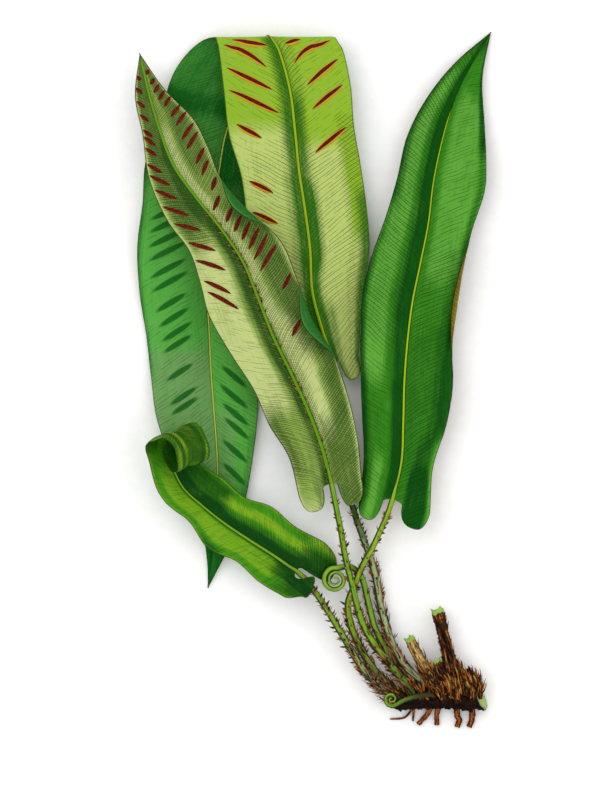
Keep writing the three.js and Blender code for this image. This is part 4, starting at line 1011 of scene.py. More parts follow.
# %% [markdown]
# ## Veins
# Veins of this fern leave the midrib at a steep slant and run straight to the margin. Drawing
# them as geometry would take thousands of threads. In the blade's own coordinates a single
# number counts them, so one group can draw them on every blade, each vein a little off its
# place and broken here and there, as veins are that show through thin tissue.

# %% Vein group
VEIN_START = 0.6
VEIN_PLACE = {"first": 0.25, "spread": 0.5}
WANDER = {"scale": 0.05, "reach": 4.0}
BREAKS = {"out": 0.14, "along": 0.8, "half": 9.0}


def make_vein_group():
    """
    Line is 1 on a vein and 0 between. (Along - slope * out - bend * (1 - 0.6 to the power of
    out)) / spacing counts the veins, and each lies at its own place between two whole numbers.
    Breaks is noise drawn out along the veins, to fade them.
    """
    group, entry, out = new_group(
        "fern_veins",
        {"Leaf": "Vector", "Spacing": "Float", "Slope": "Float", "Bend": "Float", "Width": "Float"},
        {"Line": "Float", "Breaks": "Float"})
    parts = add(group, "ShaderNodeSeparateXYZ", {0: entry["Leaf"]}).outputs
    outward = calc(group, "ABSOLUTE", parts[0])
    wander = add(group, "ShaderNodeTexNoise",
                 {"Vector": entry["Leaf"], "Scale": WANDER["scale"], "Detail": 1.0})
    beside = calc(group, "SUBTRACT", 1.0, calc(group, "POWER", VEIN_START, outward))
    forward = calc(group, "MULTIPLY_ADD", outward, entry["Slope"],
                   calc(group, "MULTIPLY", beside, entry["Bend"]))
    slanted = calc(group, "SUBTRACT", parts[1], forward)
    shifted = calc(group, "MULTIPLY_ADD", wander.outputs[0], WANDER["reach"], slanted)
    counted = calc(group, "DIVIDE", shifted, entry["Spacing"])
    own = add(group, "ShaderNodeTexWhiteNoise", {"W": calc(group, "FLOOR", counted)},
              noise_dimensions="1D")
    middle = calc(group, "MULTIPLY_ADD", own.outputs["Value"], VEIN_PLACE["spread"],
                  VEIN_PLACE["first"])
    apart = calc(group, "ABSOLUTE", calc(group, "SUBTRACT", calc(group, "FRACT", counted), middle))
    group.links.new(ramp(group, apart, 0.0, entry["Width"], 1.0, 0.0), out["Line"])
    per_vein = add(group, "ShaderNodeCombineXYZ", {
        0: calc(group, "MULTIPLY", outward, BREAKS["out"]),
        1: calc(group, "MULTIPLY", shifted, BREAKS["along"]),
        2: calc(group, "MULTIPLY", calc(group, "SIGN", parts[0]), BREAKS["half"]),
    })
    breaks = add(group, "ShaderNodeTexNoise",
                 {"Vector": per_vein.outputs[0], "Scale": 1.0, "Detail": 2.0})
    group.links.new(breaks.outputs[0], out["Breaks"])
    return group


VEINS = make_vein_group()
print("shared effect:", VEINS.name)

# %% [markdown]
# ## Mottle and streaks
# Plant tissue is never one flat colour. Mottle is noise at two scales, for soft clouds and fine
# grain, and streaks are noise drawn out along a stem, for fibres and bark.

# %% Mottle and streak groups
MOTTLE_SCALES = {"Broad": (1.0, 3.0), "Fine": (9.0, 4.0)}


def make_mottle_group():
    """Broad and fine unevenness round 0, from a vector in millimetres."""
    group, entry, out = new_group(
        "fern_mottle", {"Place": "Vector", "Size": "Float"}, {"Broad": "Float", "Fine": "Float"})
    scaled = calc(group, "DIVIDE", 1.0, entry["Size"])
    for label, (factor, detail) in MOTTLE_SCALES.items():
        scale = calc(group, "MULTIPLY", scaled, factor)
        noise = add(group, "ShaderNodeTexNoise",
                    {"Vector": entry["Place"], "Scale": scale, "Detail": detail, "Roughness": 0.6})
        group.links.new(calc(group, "SUBTRACT", noise.outputs[0], 0.5), out[label])
    return group


def make_streak_group():
    """Noise drawn out along a stem: its third coordinate counts far less than the others."""
    group, entry, out = new_group(
        "fern_streaks", {"Stem": "Vector", "Density": "Float", "Draw": "Float"}, {"Streak": "Float"})
    drawn = add(group, "ShaderNodeCombineXYZ", {0: 1.0, 1: 1.0, 2: entry["Draw"]})
    vector = add(group, "ShaderNodeVectorMath", {0: entry["Stem"], 1: drawn.outputs[0]},
                 operation="MULTIPLY")
    noise = add(group, "ShaderNodeTexNoise", {"Vector": vector.outputs[0], "Scale": entry["Density"],
                                              "Detail": 5.0, "Roughness": 0.65})
    group.links.new(noise.outputs[0], out["Streak"])
    return group


MOTTLE, STREAKS = make_mottle_group(), make_streak_group()
print("shared effects:", MOTTLE.name, STREAKS.name)

# %% [markdown]
# ## The colour of a leaf's face
# A middle green goes towards light or deep by the stored tones, mostly painted light and painted
# shade, broken up by mottle and brush streaks. Over it lie, in this order, the bars, the fine lines
# that cross the veins where the tissue is strongly hatched, the veins, the margin, the painted shade
# in the two furrows beside the midrib, and the midrib.

# %% Leaf face
DEEPER = {"broad": 0.5, "fine": 0.35, "brush": 0.9}
LIGHTER = {"broad": -0.6, "brush": -0.7}
CROSSING = {"spacing": 1.25, "slope": -0.75, "width": 0.26, "strength": 0.55, "from": 0.45}
SHOWN = {"kept": 0.22, "from": 0.49, "to": 0.6, "plain": 0.55, "hatched": 0.35}
OVERLAY = {"border": 0.5, "rim": 0.9, "furrow_shade": 0.8}


def weighted(tree, total, signals, weights):
    """The total plus each signal times its weight; the last sum is kept between 0 and 1."""
    for number, (key, weight) in enumerate(weights.items(), 1):
        is_last = number == len(weights)
        total = calc(tree, "MULTIPLY_ADD", signals[key], weight, total, clamp=is_last)
    return total


def leaf_face(tree, greens, signals):
    """The colour of one face from its greens: middle, deep, light, vein, midrib and margin."""
    def laid_over(colour, key, overlay):
        return mixed(tree, calc(tree, "MULTIPLY", signals[key], OVERLAY[key]), colour, overlay)

    middle, deep, light, vein, midrib, margin = (tint(text) for text in greens)
    # Painted shade from the deep tones and painted light from the light tones.
    depth = weighted(tree, signals["deep"], signals, DEEPER)
    lightness = weighted(tree, signals["light"], signals, LIGHTER)
    colour = mixed(tree, lightness, middle, light)
    colour = laid_over(colour, "border", light)
    colour = mixed(tree, depth, colour, deep)
    colour = mixed(tree, signals["bar"], colour, deep)
    hatched = ramp(tree, signals["hatch"], CROSSING["from"], 1.0)
    crossing = calc(tree, "MULTIPLY", hatched, signals["cross"])
    colour = mixed(tree, calc(tree, "MULTIPLY", crossing, CROSSING["strength"]), colour, vein)
    kept = calc(tree, "MULTIPLY_ADD", signals["hatch"], SHOWN["kept"], signals["breaks"])
    strength = calc(tree, "MULTIPLY_ADD", signals["hatch"], SHOWN["hatched"], SHOWN["plain"])
    shown = calc(tree, "MULTIPLY", ramp(tree, kept, SHOWN["from"], SHOWN["to"]), strength)
    colour = mixed(tree, calc(tree, "MULTIPLY", shown, signals["line"]), colour, vein)
    colour = laid_over(colour, "rim", margin)
    # Painted shade in the furrows beside the midrib.
    colour = laid_over(colour, "furrow_shade", vein)
    return mixed(tree, signals["rib"], colour, midrib)


# %% [markdown]
# ## Leaf material
# Both faces of a blade share one graph, in which the leaf face is built twice with different
# greens, and a value stored on the points chooses between the two. The soft limits below, in
# millimetres or in shares, say how wide the margin, the border beside it and the midrib are.

# %% Leaf material
VEIN = {"slope": 0.62, "bend": 2.2, "width": 0.31}
MOTTLE_SIZE = 16.0
BRUSH = {"Density": 1.1, "Draw": 0.06}
# The third pair of limits is the reach of the painted shade beside the midrib.
RIM, BORDER, FURROW_SHADE, RIB, BAR = (0.2, 0.55), (0.55, 1.5), (1.4, 2.4), (0.8, 1.2), (0.7, 1.1)
BAR_STRENGTH = 0.9


def leaf_material(name, upper, under, spacing=2.0):
    """A blade's material from the greens of its upper side and its underside."""
    material, tree, shader = new_material(name, 0.6, 0.06)
    (q, along, edge), leaf = attribute(tree, "leaf")
    (deep, light, hatch), _ = attribute(tree, "tone")
    (is_under, bar, rib), _ = attribute(tree, "face")
    veins = use(tree, VEINS, {"Leaf": leaf, "Spacing": spacing, "Slope": VEIN["slope"],
                              "Bend": VEIN["bend"], "Width": VEIN["width"] / spacing})
    cross = use(tree, VEINS, {"Leaf": leaf, "Spacing": CROSSING["spacing"],
                              "Slope": CROSSING["slope"], "Bend": 0.0,
                              "Width": CROSSING["width"] / CROSSING["spacing"]})
    mottle = use(tree, MOTTLE, {"Place": leaf, "Size": MOTTLE_SIZE})
    swapped = add(tree, "ShaderNodeCombineXYZ", {0: q, 1: 0.0, 2: along})
    brush = use(tree, STREAKS, {"Stem": swapped.outputs[0], **BRUSH})["Streak"]
    on_upper = calc(tree, "SUBTRACT", 1.0, is_under)
    signals = {
        "deep": deep, "light": light, "hatch": hatch, "broad": mottle["Broad"],
        "fine": mottle["Fine"], "brush": calc(tree, "SUBTRACT", brush, 0.5),
        "bar": calc(tree, "MULTIPLY", ramp(tree, bar, *BAR, BAR_STRENGTH, 0.0), on_upper),
        "line": veins["Line"], "breaks": veins["Breaks"], "cross": cross["Line"],
        "rim": ramp(tree, edge, *RIM, 1.0, 0.0),
        "border": ramp(tree, edge, *BORDER, 1.0, 0.0),
        # Painted shade in the furrows beside the midrib.
        "furrow_shade": ramp(tree, rib, *FURROW_SHADE, 1.0, 0.0),
        "rib": ramp(tree, rib, *RIB, 1.0, 0.0),
    }
    colour = mixed(tree, is_under, leaf_face(tree, upper, signals), leaf_face(tree, under, signals))
    tree.links.new(colour, shader.inputs["Base Color"])
    height = calc(tree, "MULTIPLY_ADD", mottle["Fine"], 0.5, veins["Line"])
    relief(tree, shader, height, 0.35, 0.0002)
    return material


# Greens of each face: middle, deep for the painted shade and the bars, light mostly for painted light,
# vein, midrib and margin.
LEAVES = {
    "right": leaf_material("frond_green",
                           ("307a12", "044804", "5ea238", "042404", "a8be14", "062406"),
                           ("8c7c1c", "40340c", "b09c30", "1c1406", "a09830", "2a1c08")),
    "front": leaf_material("fertile_frond_green",
                           ("2a6e28", "083c0c", "549448", "0a2c0e", "8cb030", "0a2c0c"),
                           ("809c44", "325818", "b8c47c", "10200a", "5a9210", "16280c"), spacing=1.2),
    "back": leaf_material("folded_frond_green",
                          ("50a03c", "085810", "6c9458", "0c3812", "c0c44c", "083408"),
                          ("b4c46c", "2c6a0c", "88ae28", "1a340a", "8ca814", "3a5610")),
    "young": leaf_material("young_frond_green",
                           ("3c860e", "054208", "7aa61c", "0a300a", "80aa24", "0c3808"),
                           ("4a8412", "123e06", "8cb02c", "0e3008", "80aa24", "0c3006"), spacing=1.0),
}
print("leaf materials:", [look.name for look in LEAVES.values()])

# %% [markdown]
# ## The four blades
# Now every frond gets its skin and its greens. The seeds belong to the sori: the blade needs
# them for the bars and the sori themselves must use the same ones, so that both agree.

# %% Blades
SORI_SEEDS = {"right": 11, "front": 12, "back": 13, "young": 14}
for name, frond in FRONDS.items():
    skin = blade_skin(frond, SORI_SEEDS[name])
    make_piece(f"blade_{name}", skin, f"frond_{name}_blade", LEAVES[name])

# %% [markdown]
# ## Sori
# The spore cases sit in long narrow lines on the underside, each line under two thin flaps
# that open along its middle. A sorus is a closed tube along its spine whose section is a low
# dome with a shallow furrow, sunk into the blade. Small waves roughen the dome like the
# crowded spore cases.

# %% Sori
SORUS_SECTION = {"height": 0.7, "sunk": 0.35, "around": 16, "fullness": 0.55, "blunt": 0.12}
SORUS_FURROW = {"depth": 0.3, "half_width": 0.22}
CASES = {"size": 0.9, "height": 0.12}


def sori_skin(frond, seed):
    """All sori of a frond as one skin of closed ridges."""
    angle = np.linspace(0, 2 * np.pi, SORUS_SECTION["around"], endpoint=False)
    s = np.linspace(0, 1, SORUS["rings"])
    fullness = np.maximum(np.sin(np.pi * s) ** SORUS_SECTION["fullness"], SORUS_SECTION["blunt"])
    out, dome = np.cos(angle), np.sin(angle)
    skins = []
    for side, t, q in sori_spines(frond, seed):
        centre = surface_at(frond, side, t, q)
        face = face_at(frond, side, t, q)
        along = unit(np.gradient(centre, axis=1))
        across = unit(np.cross(face, along))
        wide = frond["sori_width"] * fullness
        dip = np.exp(-((out / SORUS_FURROW["half_width"]) ** 2))
        raised = SORUS_SECTION["height"] * dome * (1 - SORUS_FURROW["depth"] * dip)
        high = np.where(dome > 0, raised, SORUS_SECTION["sunk"] * dome)
        shape = across[:, :, None] * (wide[:, None] * out)[None, ..., None]
        shape = shape + face[:, :, None] * (fullness[:, None] * high)[None, ..., None]
        grid = centre[:, :, None] + face[:, :, None] * HALF_THICKNESS + shape
        bumps = swell(grid, CASES["size"], seed) * CASES["height"] * np.maximum(dome, 0)
        grid = grid + face[:, :, None] * bumps[..., None]
        values = [np.broadcast_to(v, grid.shape[:3]) for v in (side * out, s[:, None], dome)]
        skins.append(tube_skin(grid, {"sorus": np.stack(values, -1)}))
    return joined_skins(skins)


print("sori:", {name: sum(len(row[4]) for row in frond["sori"]) for name, frond in FRONDS.items()})

# %% [markdown]
# ## Sori material
# Ripe cases are red-brown, each a tiny grain, which a cell pattern gives. The flaps aren't worth
# geometry of their own: they are a colour at the two edges, a little wider along one edge than
# along the other. The front frond's flaps are brown and the back frond's golden.

# %% Sori material
GRAIN = {"scale": 1600.0, "from": 0.2, "to": 0.7}
FLAP_SOFT = (0.2, 0.15)


def sori_material(name, case, dark, flap, shares):
    """Red-brown cases between two flaps, whose colour starts at a share out on either side."""
    material, tree, shader = new_material(name, 0.75, 0.1)
    (out, _, _), _ = attribute(tree, "sorus")
    place = add(tree, "ShaderNodeTexCoord", {}).outputs["Object"]
    grains = add(tree, "ShaderNodeTexVoronoi", {"Vector": place, "Scale": GRAIN["scale"]})
    between = ramp(tree, grains.outputs["Distance"], GRAIN["from"], GRAIN["to"])
    colour = mixed(tree, between, tint(case), tint(dark))
    lower = ramp(tree, out, shares[0], shares[0] + FLAP_SOFT[0])
    upper = ramp(tree, out, -shares[1] - FLAP_SOFT[1], -shares[1], 1.0, 0.0)
    edge = calc(tree, "MAXIMUM", lower, upper)
    tree.links.new(mixed(tree, edge, colour, tint(flap)), shader.inputs["Base Color"])
    relief(tree, shader, grains.outputs["Distance"], 0.5, -0.0002)
    return material


SORI_LOOKS = {
    "front": sori_material("sori_rust", "7c1c0c", "3a0a04", "7a3c10", (0.6, 0.8)),
    "back": sori_material("sori_rust_gold", "70190a", "380a04", "c8901c", (0.3, 0.66)),
}
for name, look in SORI_LOOKS.items():
    skin = sori_skin(FRONDS[name], SORI_SEEDS[name])
    make_piece(f"sori_{name}", skin, f"frond_{name}_blade", look)

# %% [markdown]
# ## Stems
# Stalks, croziers, stubs, leaf bases and roots are all a profile carried along a path: rings of
# points square to the path, with one direction kept level. A function of the angle and the
# distance shapes the ring, so a stalk gets its groove and a stub its ribs. Each kind has its own
# step between rings in millimetres and its own number of points round a ring.

# %% Stem skins
THINNEST = 0.05
STEM_GRIDS = {"stalk": (1.4, 16), "crozier": (0.6, 14), "rhizome": (0.5, 56), "base": (0.8, 14),
              "root": (0.6, 14)}
ROUGH = ((0.1, 2.2), (0.06, 0.9))
STALK_GROOVE = {"depth": 0.16, "half_angle": 0.4}


def ring_frames(points):
    """Along, level across and up directions at each point of a path."""
    along = unit(np.gradient(points, axis=0))
    across = unit(np.cross(UP, along))
    return along, across, np.cross(along, across)


def stem_skin(rows, step, around, shape=None, seed=0):
    """
    A closed tube through rows of x, y, z and radius. The stored stem values are the ring's own
    two coordinates and the distance along in millimetres, and the share of the whole length.
    """
    path, distance = even_path(rows, step)
    _, across, up = ring_frames(path[:, :3])
    angle = np.linspace(0, 2 * np.pi, around, endpoint=False)[None, :]
    radius = np.maximum(path[:, 3:4], THINNEST)
    factor = 1 if shape is None else shape(angle, distance[:, None])
    wide, high = radius * factor * np.cos(angle), radius * factor * np.sin(angle)
    grid = path[:, None, :3] + across[:, None] * wide[..., None] + up[:, None] * high[..., None]
    if seed:
        rough = 1 + sum(height * swell(grid, size, seed + i) for i, (height, size) in enumerate(ROUGH))
        grid = path[:, None, :3] + (grid - path[:, None, :3]) * rough[..., None]
    long = np.broadcast_to(distance[:, None], wide.shape)
    share = long / distance[-1]
    attributes = {
        "stem": np.stack([wide, high, long], -1)[None],
        "part": np.stack([share, np.zeros_like(share), np.broadcast_to(angle, wide.shape)], -1)[None],
    }
    return tube_skin(grid[None], attributes)


def stalk_groove(angle, _):
    """A shallow groove along the upper side of a stalk, the same at every distance."""
    dip = np.exp(-(((angle - np.pi / 2) / STALK_GROOVE["half_angle"]) ** 2))
    return 1 - STALK_GROOVE["depth"] * dip


print("depth of the groove as a share of the radius:", STALK_GROOVE["depth"])

# %% [markdown]
# ## Where the stalks run
# The stalks leave the rhizome close together, cross each other and part. Each is a list of
# places with a radius that shrinks evenly. Inside the blade the stalk thins and sinks away into
# the midrib, so that no end shows.

# %% Stalk rows
STALK_RADII = (2.1, 1.35)
STALK_END = [(0.35, 0.3, 1.1), (0.8, 0.2, 0.8), (1.3, 0.0, 0.4)]
STALKS = {
    "right": [[-18, 3, 3.5], [-20, 4, 3.5], [-28.5, 10, 3.8], [-36, 19.5, 4.2], [-41.5, 29.5, 5],
              [-45, 39, 6.5], [-46, 48.5, 8.5], [-43, 57, 10], [-39, 67, 10], [-34, 76, 10],
              [-30.5, 83.5, 10.4], [-27, 91.5, 10.8], [-24.5, 98.5, 11]],
    "front": [[-12, 3, 8.5], [-15, 7, 9.8], [-21.5, 13.5, 11.3], [-28, 21.5, 12],
              [-34.5, 30.5, 13], [-39, 39, 14], [-42, 49, 15], [-44.5, 60, 15.5],
              [-47.5, 72, 16], [-49.5, 84, 17.5], [-52, 96.5, 19], [-54, 106.5, 20]],
    "back": [[-4, 4, 6.5], [-9, 9.5, 7.2], [-17.2, 16.5, 7.5], [-22.5, 25.5, 6.4],
             [-26.6, 35.5, 5.2], [-29.6, 46.5, 4.4], [-31.5, 57.5, 4], [-34.5, 70, 4.2],
             [-39, 82.5, 5], [-43.5, 96, 6.5], [-46, 110, 8], [-48.5, 130, 10], [-50, 150, 11],
             [-52.5, 167, 11.5]],
    "young": [[-20, 2.5, 7.5], [-26, 3.5, 8], [-35, 11.5, 9], [-41.5, 20, 9.8],
              [-47, 29.5, 10.5], [-53, 39.5, 10.5], [-59, 49, 10.6], [-65, 57.5, 11],
              [-70.5, 63.5, 12.5]],
}


def tapered(points, radii):
    """The points with a radius that goes evenly from the first to the second."""
    radius = np.linspace(radii[0], radii[1], len(points))
    return np.hstack([np.array(points, float), radius[:, None]])


def with_end(rows, frond):
    """The stalk carried on into the midrib, where it thins and sinks away in the blade."""
    places, lift, radius = np.array(STALK_END).T
    centre, _, _, face = midrib_frame(frond, places)
    sunk = centre + face * frond["underside"] * lift[:, None]
    return np.vstack([rows, np.hstack([sunk, radius[:, None]])])


STALK_ROWS = {
    name: with_end(tapered(points, STALK_RADII), FRONDS[name]) for name, points in STALKS.items()
}
for name, rows in STALK_ROWS.items():
    print(name, "stalk length in mm:", round(float(distances(rows)[1][-1])))

# %% [markdown]
# ## Croziers
# A crozier is a frond still rolled up, like the head of a bishop's staff. Its stem runs straight
# into a flat spiral whose radius shrinks by an even pitch with each turn.

# %% Crozier rows
CROZIERS = {
    "tall": {
        "stem": [[-8, 3, 3.8], [-11, 7, 3.2], [-16.5, 13, 3.2], [-23, 20, 3.2], [-28, 27.5, 3.2],
                 [-32.5, 36, 3.2], [-35, 45, 3.2], [-37, 53.5, 4], [-38.5, 59.5, 4.5],
                 [-41.5, 64.5, 5.6], [-46, 67, 9.6]],
        "radii": (1.9, 1.5), "centre": (-52.4, 60.3, 11), "radius": 6.1, "pitch": 2.4,
        "turns": 2.15, "start": 75, "way": 1, "band": 0.25,
    },
    "low": {
        "stem": [[-3, 2, 8], [-5, 3, 11.5], [-12, 2.2, 12.8], [-18.5, 0, 12.9]],
        "radii": (1.3, 1.2), "centre": (-24.4, 0.8, 12.7), "radius": 3.7, "pitch": 2,
        "turns": 1.65, "start": -50, "way": -1, "band": 0.29,
    },
}
COIL_STEPS = 9
COIL_BAND_MIN = 0.4


def crozier_rows(crozier):
    """The stem's rows, then the coil's: distance from its centre = radius - pitch * turns."""
    steps = round(crozier["turns"] * COIL_STEPS)
    turned = crozier["turns"] * np.arange(steps + 1) / steps
    angle = np.radians(crozier["start"]) + crozier["way"] * 2 * np.pi * turned
    distance = crozier["radius"] - crozier["pitch"] * turned
    outward = np.stack([np.cos(angle), np.sin(angle), 0 * angle], -1)
    points = np.array(crozier["centre"]) + outward * distance[:, None]
    band = np.maximum(crozier["band"] * distance, COIL_BAND_MIN)[:, None]
    return np.vstack([tapered(crozier["stem"], crozier["radii"]), np.hstack([points, band])])


CROZIER_ROWS = {name: crozier_rows(crozier) for name, crozier in CROZIERS.items()}
print("crozier rows:", {name: len(rows) for name, rows in CROZIER_ROWS.items()})

# %% [markdown]
# ## Stalk material
# A stalk is lime green with fine streaks and goes over to a duller colour at its foot, where
# chaffy scales hide it. Painted shade darkens its sides, one side more than the other. The stored
# part value says how far up a point is, and the angle round the stem says which side it is on.

# %% Stalk material
# How the painted shade on the sides of a stalk falls: one side takes more of it.
STALK_SIDE_SHADE = {"uneven": 0.25, "ragged": 0.5, "from": 0.35, "to": 0.8, "strength": 0.92}


def stalk_material(name, fresh, shaded, foot, shares):
    """Streaked green with painted shade at the sides, that turns to the foot's colour between two
    shares.
    """
    material, tree, shader = new_material(name, 0.55, 0.15)
    _, stem = attribute(tree, "stem")
    (share, _, angle), _ = attribute(tree, "part")
    streak = use(tree, STREAKS, {"Stem": stem, "Density": 1.6, "Draw": 0.07})["Streak"]
    patchy = calc(tree, "MULTIPLY", ramp(tree, streak, 0.45, 0.65), 0.5)
    colour = mixed(tree, patchy, tint(fresh), tint(shaded))
    near_foot = calc(tree, "MULTIPLY_ADD", streak, -0.3, calc(tree, "ADD", share, 0.15))
    footed = ramp(tree, near_foot, *shares, 1.0, 0.0)
    colour = mixed(tree, footed, colour, tint(foot))
    # Painted shade along the sides of the stalk, heavier on one side.
    across = calc(tree, "COSINE", angle)
    sideways = calc(tree, "MULTIPLY_ADD", across, STALK_SIDE_SHADE["uneven"],
                    calc(tree, "ABSOLUTE", across))
    sideways = calc(tree, "MULTIPLY_ADD", calc(tree, "SUBTRACT", streak, 0.5),
                    STALK_SIDE_SHADE["ragged"], sideways)
    shaded_share = ramp(tree, sideways, STALK_SIDE_SHADE["from"], STALK_SIDE_SHADE["to"])
    painted_side_shade = calc(tree, "MULTIPLY", shaded_share, STALK_SIDE_SHADE["strength"])
    tree.links.new(mixed(tree, painted_side_shade, colour, tint(shaded)), shader.inputs["Base Color"])
    relief(tree, shader, streak, 0.4, 0.0003)
    return material


# %% [markdown]
# ## Stalks and croziers
# The four stalks differ in freshness: the back one is scurfy and dull, the right one lime. The
# croziers are stems of the same kind without the groove.

# %% Stalks and croziers
STALK_LOOKS = {
    "right": stalk_material("stalk_lime", "8cac1c", "16340a", "7c8c4c", (0.06, 0.3)),
    "front": stalk_material("stalk_green", "74a012", "0e2c06", "4c7c24", (0.05, 0.25)),
    "back": stalk_material("stalk_scurfy", "245c10", "0c280a", "a0b07c", (0.36, 0.5)),
    "young": stalk_material("stalk_pale", "7ca01c", "14300a", "98a674", (0.1, 0.5)),
}
for name, rows in STALK_ROWS.items():
    skin = stem_skin(rows, *STEM_GRIDS["stalk"], stalk_groove)
    make_piece(f"stalk_{name}", skin, f"frond_{name}_stipe", STALK_LOOKS[name])
CROZIER_LOOKS = {
    "tall": stalk_material("crozier_lime", "88b02c", "143408", "7c8c4c", (0.06, 0.3)),
    "low": stalk_material("crozier_olive", "78ac2c", "143408", "3c2c0c", (0.16, 0.8)),
}
for name, rows in CROZIER_ROWS.items():
    skin = stem_skin(rows, *STEM_GRIDS["crozier"])
    make_piece(f"crozier_{name}", skin, f"crozier_{name}", CROZIER_LOOKS[name])

# %% [markdown]
# ## Where rhizome, leaf bases, roots and stubs run
# The rhizome is short and thick. Bases of leaves long gone crowd its upper side, four stubs of
# old leaf stalks stand among them, and stout roots leave it below. All are rows of x, y, z and
# radius, so that one stem function serves them all.

# %% Rows of the woody parts
RHIZOME = [
    [-27, -1, 4.2, 2], [-21, -0.6, 4.4, 4.2], [-14, 0.6, 4.3, 5], [-5, 1.2, 4.2, 5.3],
    [5, 1.2, 4.2, 5.3], [14, 0.6, 4.6, 5.5], [20.5, 0.6, 5, 5], [26, 0, 5.4, 4.5],
]
RHIZOME_CUT = {"at": np.array([21, 0.3, 5]), "faces": unit(np.array([0.88, 0.3, 0.36])),
               "slide": unit(np.array([1, -0.15, 0.04]))}
LEAF_BASES = [
    [[-18, 1, 7, 2], [-22, 4, 10.5, 1.6], [-27, 8.5, 12, 0.6]],
    [[-12, 2, 7, 2], [-15.5, 7, 6, 1.7], [-20.5, 12, 7, 0.7]],
    [[-9, 0, 7.5, 2], [-10.5, 5, 11.5, 1.8], [-15, 10, 13.5, 0.6]],
    [[-4, 3, 8, 2.2], [-6.5, 10, 12, 1.8], [-11, 17, 13, 0.7]],
    [[1, 4, 8, 2], [-2, 12, 13, 1.8], [-5.5, 19, 13.5, 0.7]],
    [[2, 0, 8, 2], [0.5, 5, 12, 1.8], [-3, 10, 14, 0.7]],
    [[6, 4, 8, 2], [4.5, 12, 11, 1.7], [2.5, 20, 11, 0.7]],
    [[9, 0, 8, 2.2], [8, 5, 12, 1.8], [5.5, 11, 13.5, 0.6]],
    [[11, 3, 8, 2.2], [10.5, 10, 9.5, 1.9], [7.5, 19, 8.5, 0.7]],
    [[14, 3, 8, 2.2], [13.5, 9, 10.5, 1.8], [10.5, 17, 9.5, 0.7]],
    [[16, 0, 8, 2], [16, 5, 11, 1.7], [14, 11, 11.5, 0.6]],
    [[19, 1, 7, 2.2], [19.5, 7, 8, 1.8], [17.5, 14, 7.5, 0.6]],
]
ROOTS = [
    [[-13.5, -2, 3, 0.7], [-15, -6, 1.6, 0.6], [-18.5, -9, 0.7, 0.5], [-25, -9.5, 0.5, 0.4]],
    [[-13, -3, 2.6, 0.7], [-13.2, -7, 1.2, 0.6], [-13.5, -10.5, 0.6, 0.45]],
    [[-4, -1, 3, 1.4], [-6, -6.5, 1.8, 1.3], [-10, -11, 1.2, 1.2], [-11, -12.2, 1.1, 1.1]],
    [[0.5, -1, 3, 1.4], [-1.5, -6.5, 1.8, 1.3], [-1.5, -12.5, 1.1, 1.2]],
    [[8.5, -2, 3, 1.6], [8.5, -7.5, 1.9, 1.5], [9.5, -10, 1.5, 1.5], [8.5, -13.5, 1.3, 1.4]],
    [[16, -3, 3, 1.6], [16, -9, 1.7, 1.5], [14.5, -13.5, 1.3, 1.4]],
]
STUBS = {
    "tan": [[1, 3, 8, 1.8], [-2, 9, 10, 2.4], [-7, 16, 10.5, 2.7], [-12, 24, 10.5, 2.6],
            [-15.5, 31.5, 11, 2.6]],
    "tall": [[11, 2, 5.5, 2.2], [9, 7, 6, 3], [6, 15, 7, 3.3], [3.5, 25, 7, 3],
             [1, 35, 7, 2.8], [-1.5, 45.5, 7.6, 3.2]],
    "small": [[5.3, 3, 9.5, 1.6], [3.8, 8.5, 11.2, 1.8], [1.3, 14, 12.3, 2], [-1.7, 20, 12.8, 2.1]],
    "rear": [[17.5, 0.5, 6, 2], [17.4, 5, 6, 2.4], [15.8, 10, 6.6, 2.3], [13, 15.5, 7, 2]],
}
print("leaf bases, roots and stubs:", len(LEAF_BASES), len(ROOTS), len(STUBS))

# %% [markdown]
# ## Rhizome skin
# The rhizome is a knobbly tube cut off with a slanting pale face at its old end. A boolean cut
# would leave long thin triangles. Instead a point beyond the cut slides back along the tube until
# it lies on the cutting plane, which keeps the grid whole.

# %% Rhizome skin
KNOBS = {"height": 0.09, "along": 1.3, "round": 2, "twist": 0.4}
STEM_SEEDS = {"rhizome": 5, "base": 40, "root": 60, "stub": 70}


def knobs(angle, distance):
    """Low knobs: height * sine of the distance * sine of twice the angle, twisted on the way."""
    turned = KNOBS["round"] * angle + distance * KNOBS["twist"]
    return 1 + KNOBS["height"] * np.sin(distance * KNOBS["along"]) * np.sin(turned)


def rhizome_skin():
    """The knobbly tube, slid back to the cut and pressed flat where it rests."""
    grid = STEM_GRIDS["rhizome"]
    points, faces, attributes = stem_skin(RHIZOME, *grid, knobs, STEM_SEEDS["rhizome"])
    past = (points - RHIZOME_CUT["at"]) @ RHIZOME_CUT["faces"]
    back = np.maximum(past, 0) / (RHIZOME_CUT["slide"] @ RHIZOME_CUT["faces"])
    points = points - back[:, None] * RHIZOME_CUT["slide"]
    points[:, 2] = np.maximum(points[:, 2], 0)
    attributes["part"][:, 1] = past > 0
    return points, faces, attributes


slant = np.degrees(np.arccos(RHIZOME_CUT["slide"] @ RHIZOME_CUT["faces"]))
print("slant of the cut in degrees:", round(float(slant), 1))

# %% [markdown]
# ## Stub skin
# An old stalk breaks off with a ragged rim and a hollow of pale tissue. The tube's own last
# rings become the rim, and four more rings, each given by its height, its share of the radius
# and its share of the raggedness, fold inwards over the broken end.

# %% Stub skin
STUB_STEP, STUB_AROUND = 0.7, 30
STUB_LIPS = [(0.05, 0.93, 0.9), (-0.15, 0.8, 0.6), (-0.25, 0.45, 0.3), (-0.1, 0.15, 0.1)]
BELOW_RIM = 0.6
CAP_FADE = 1.1
RAGGED = ((0.7, 3, 1), (0.45, 7, 2))
STUB_RIBS = {"broad": (0.06, 5, 0.05), "fine": (0.03, 11)}


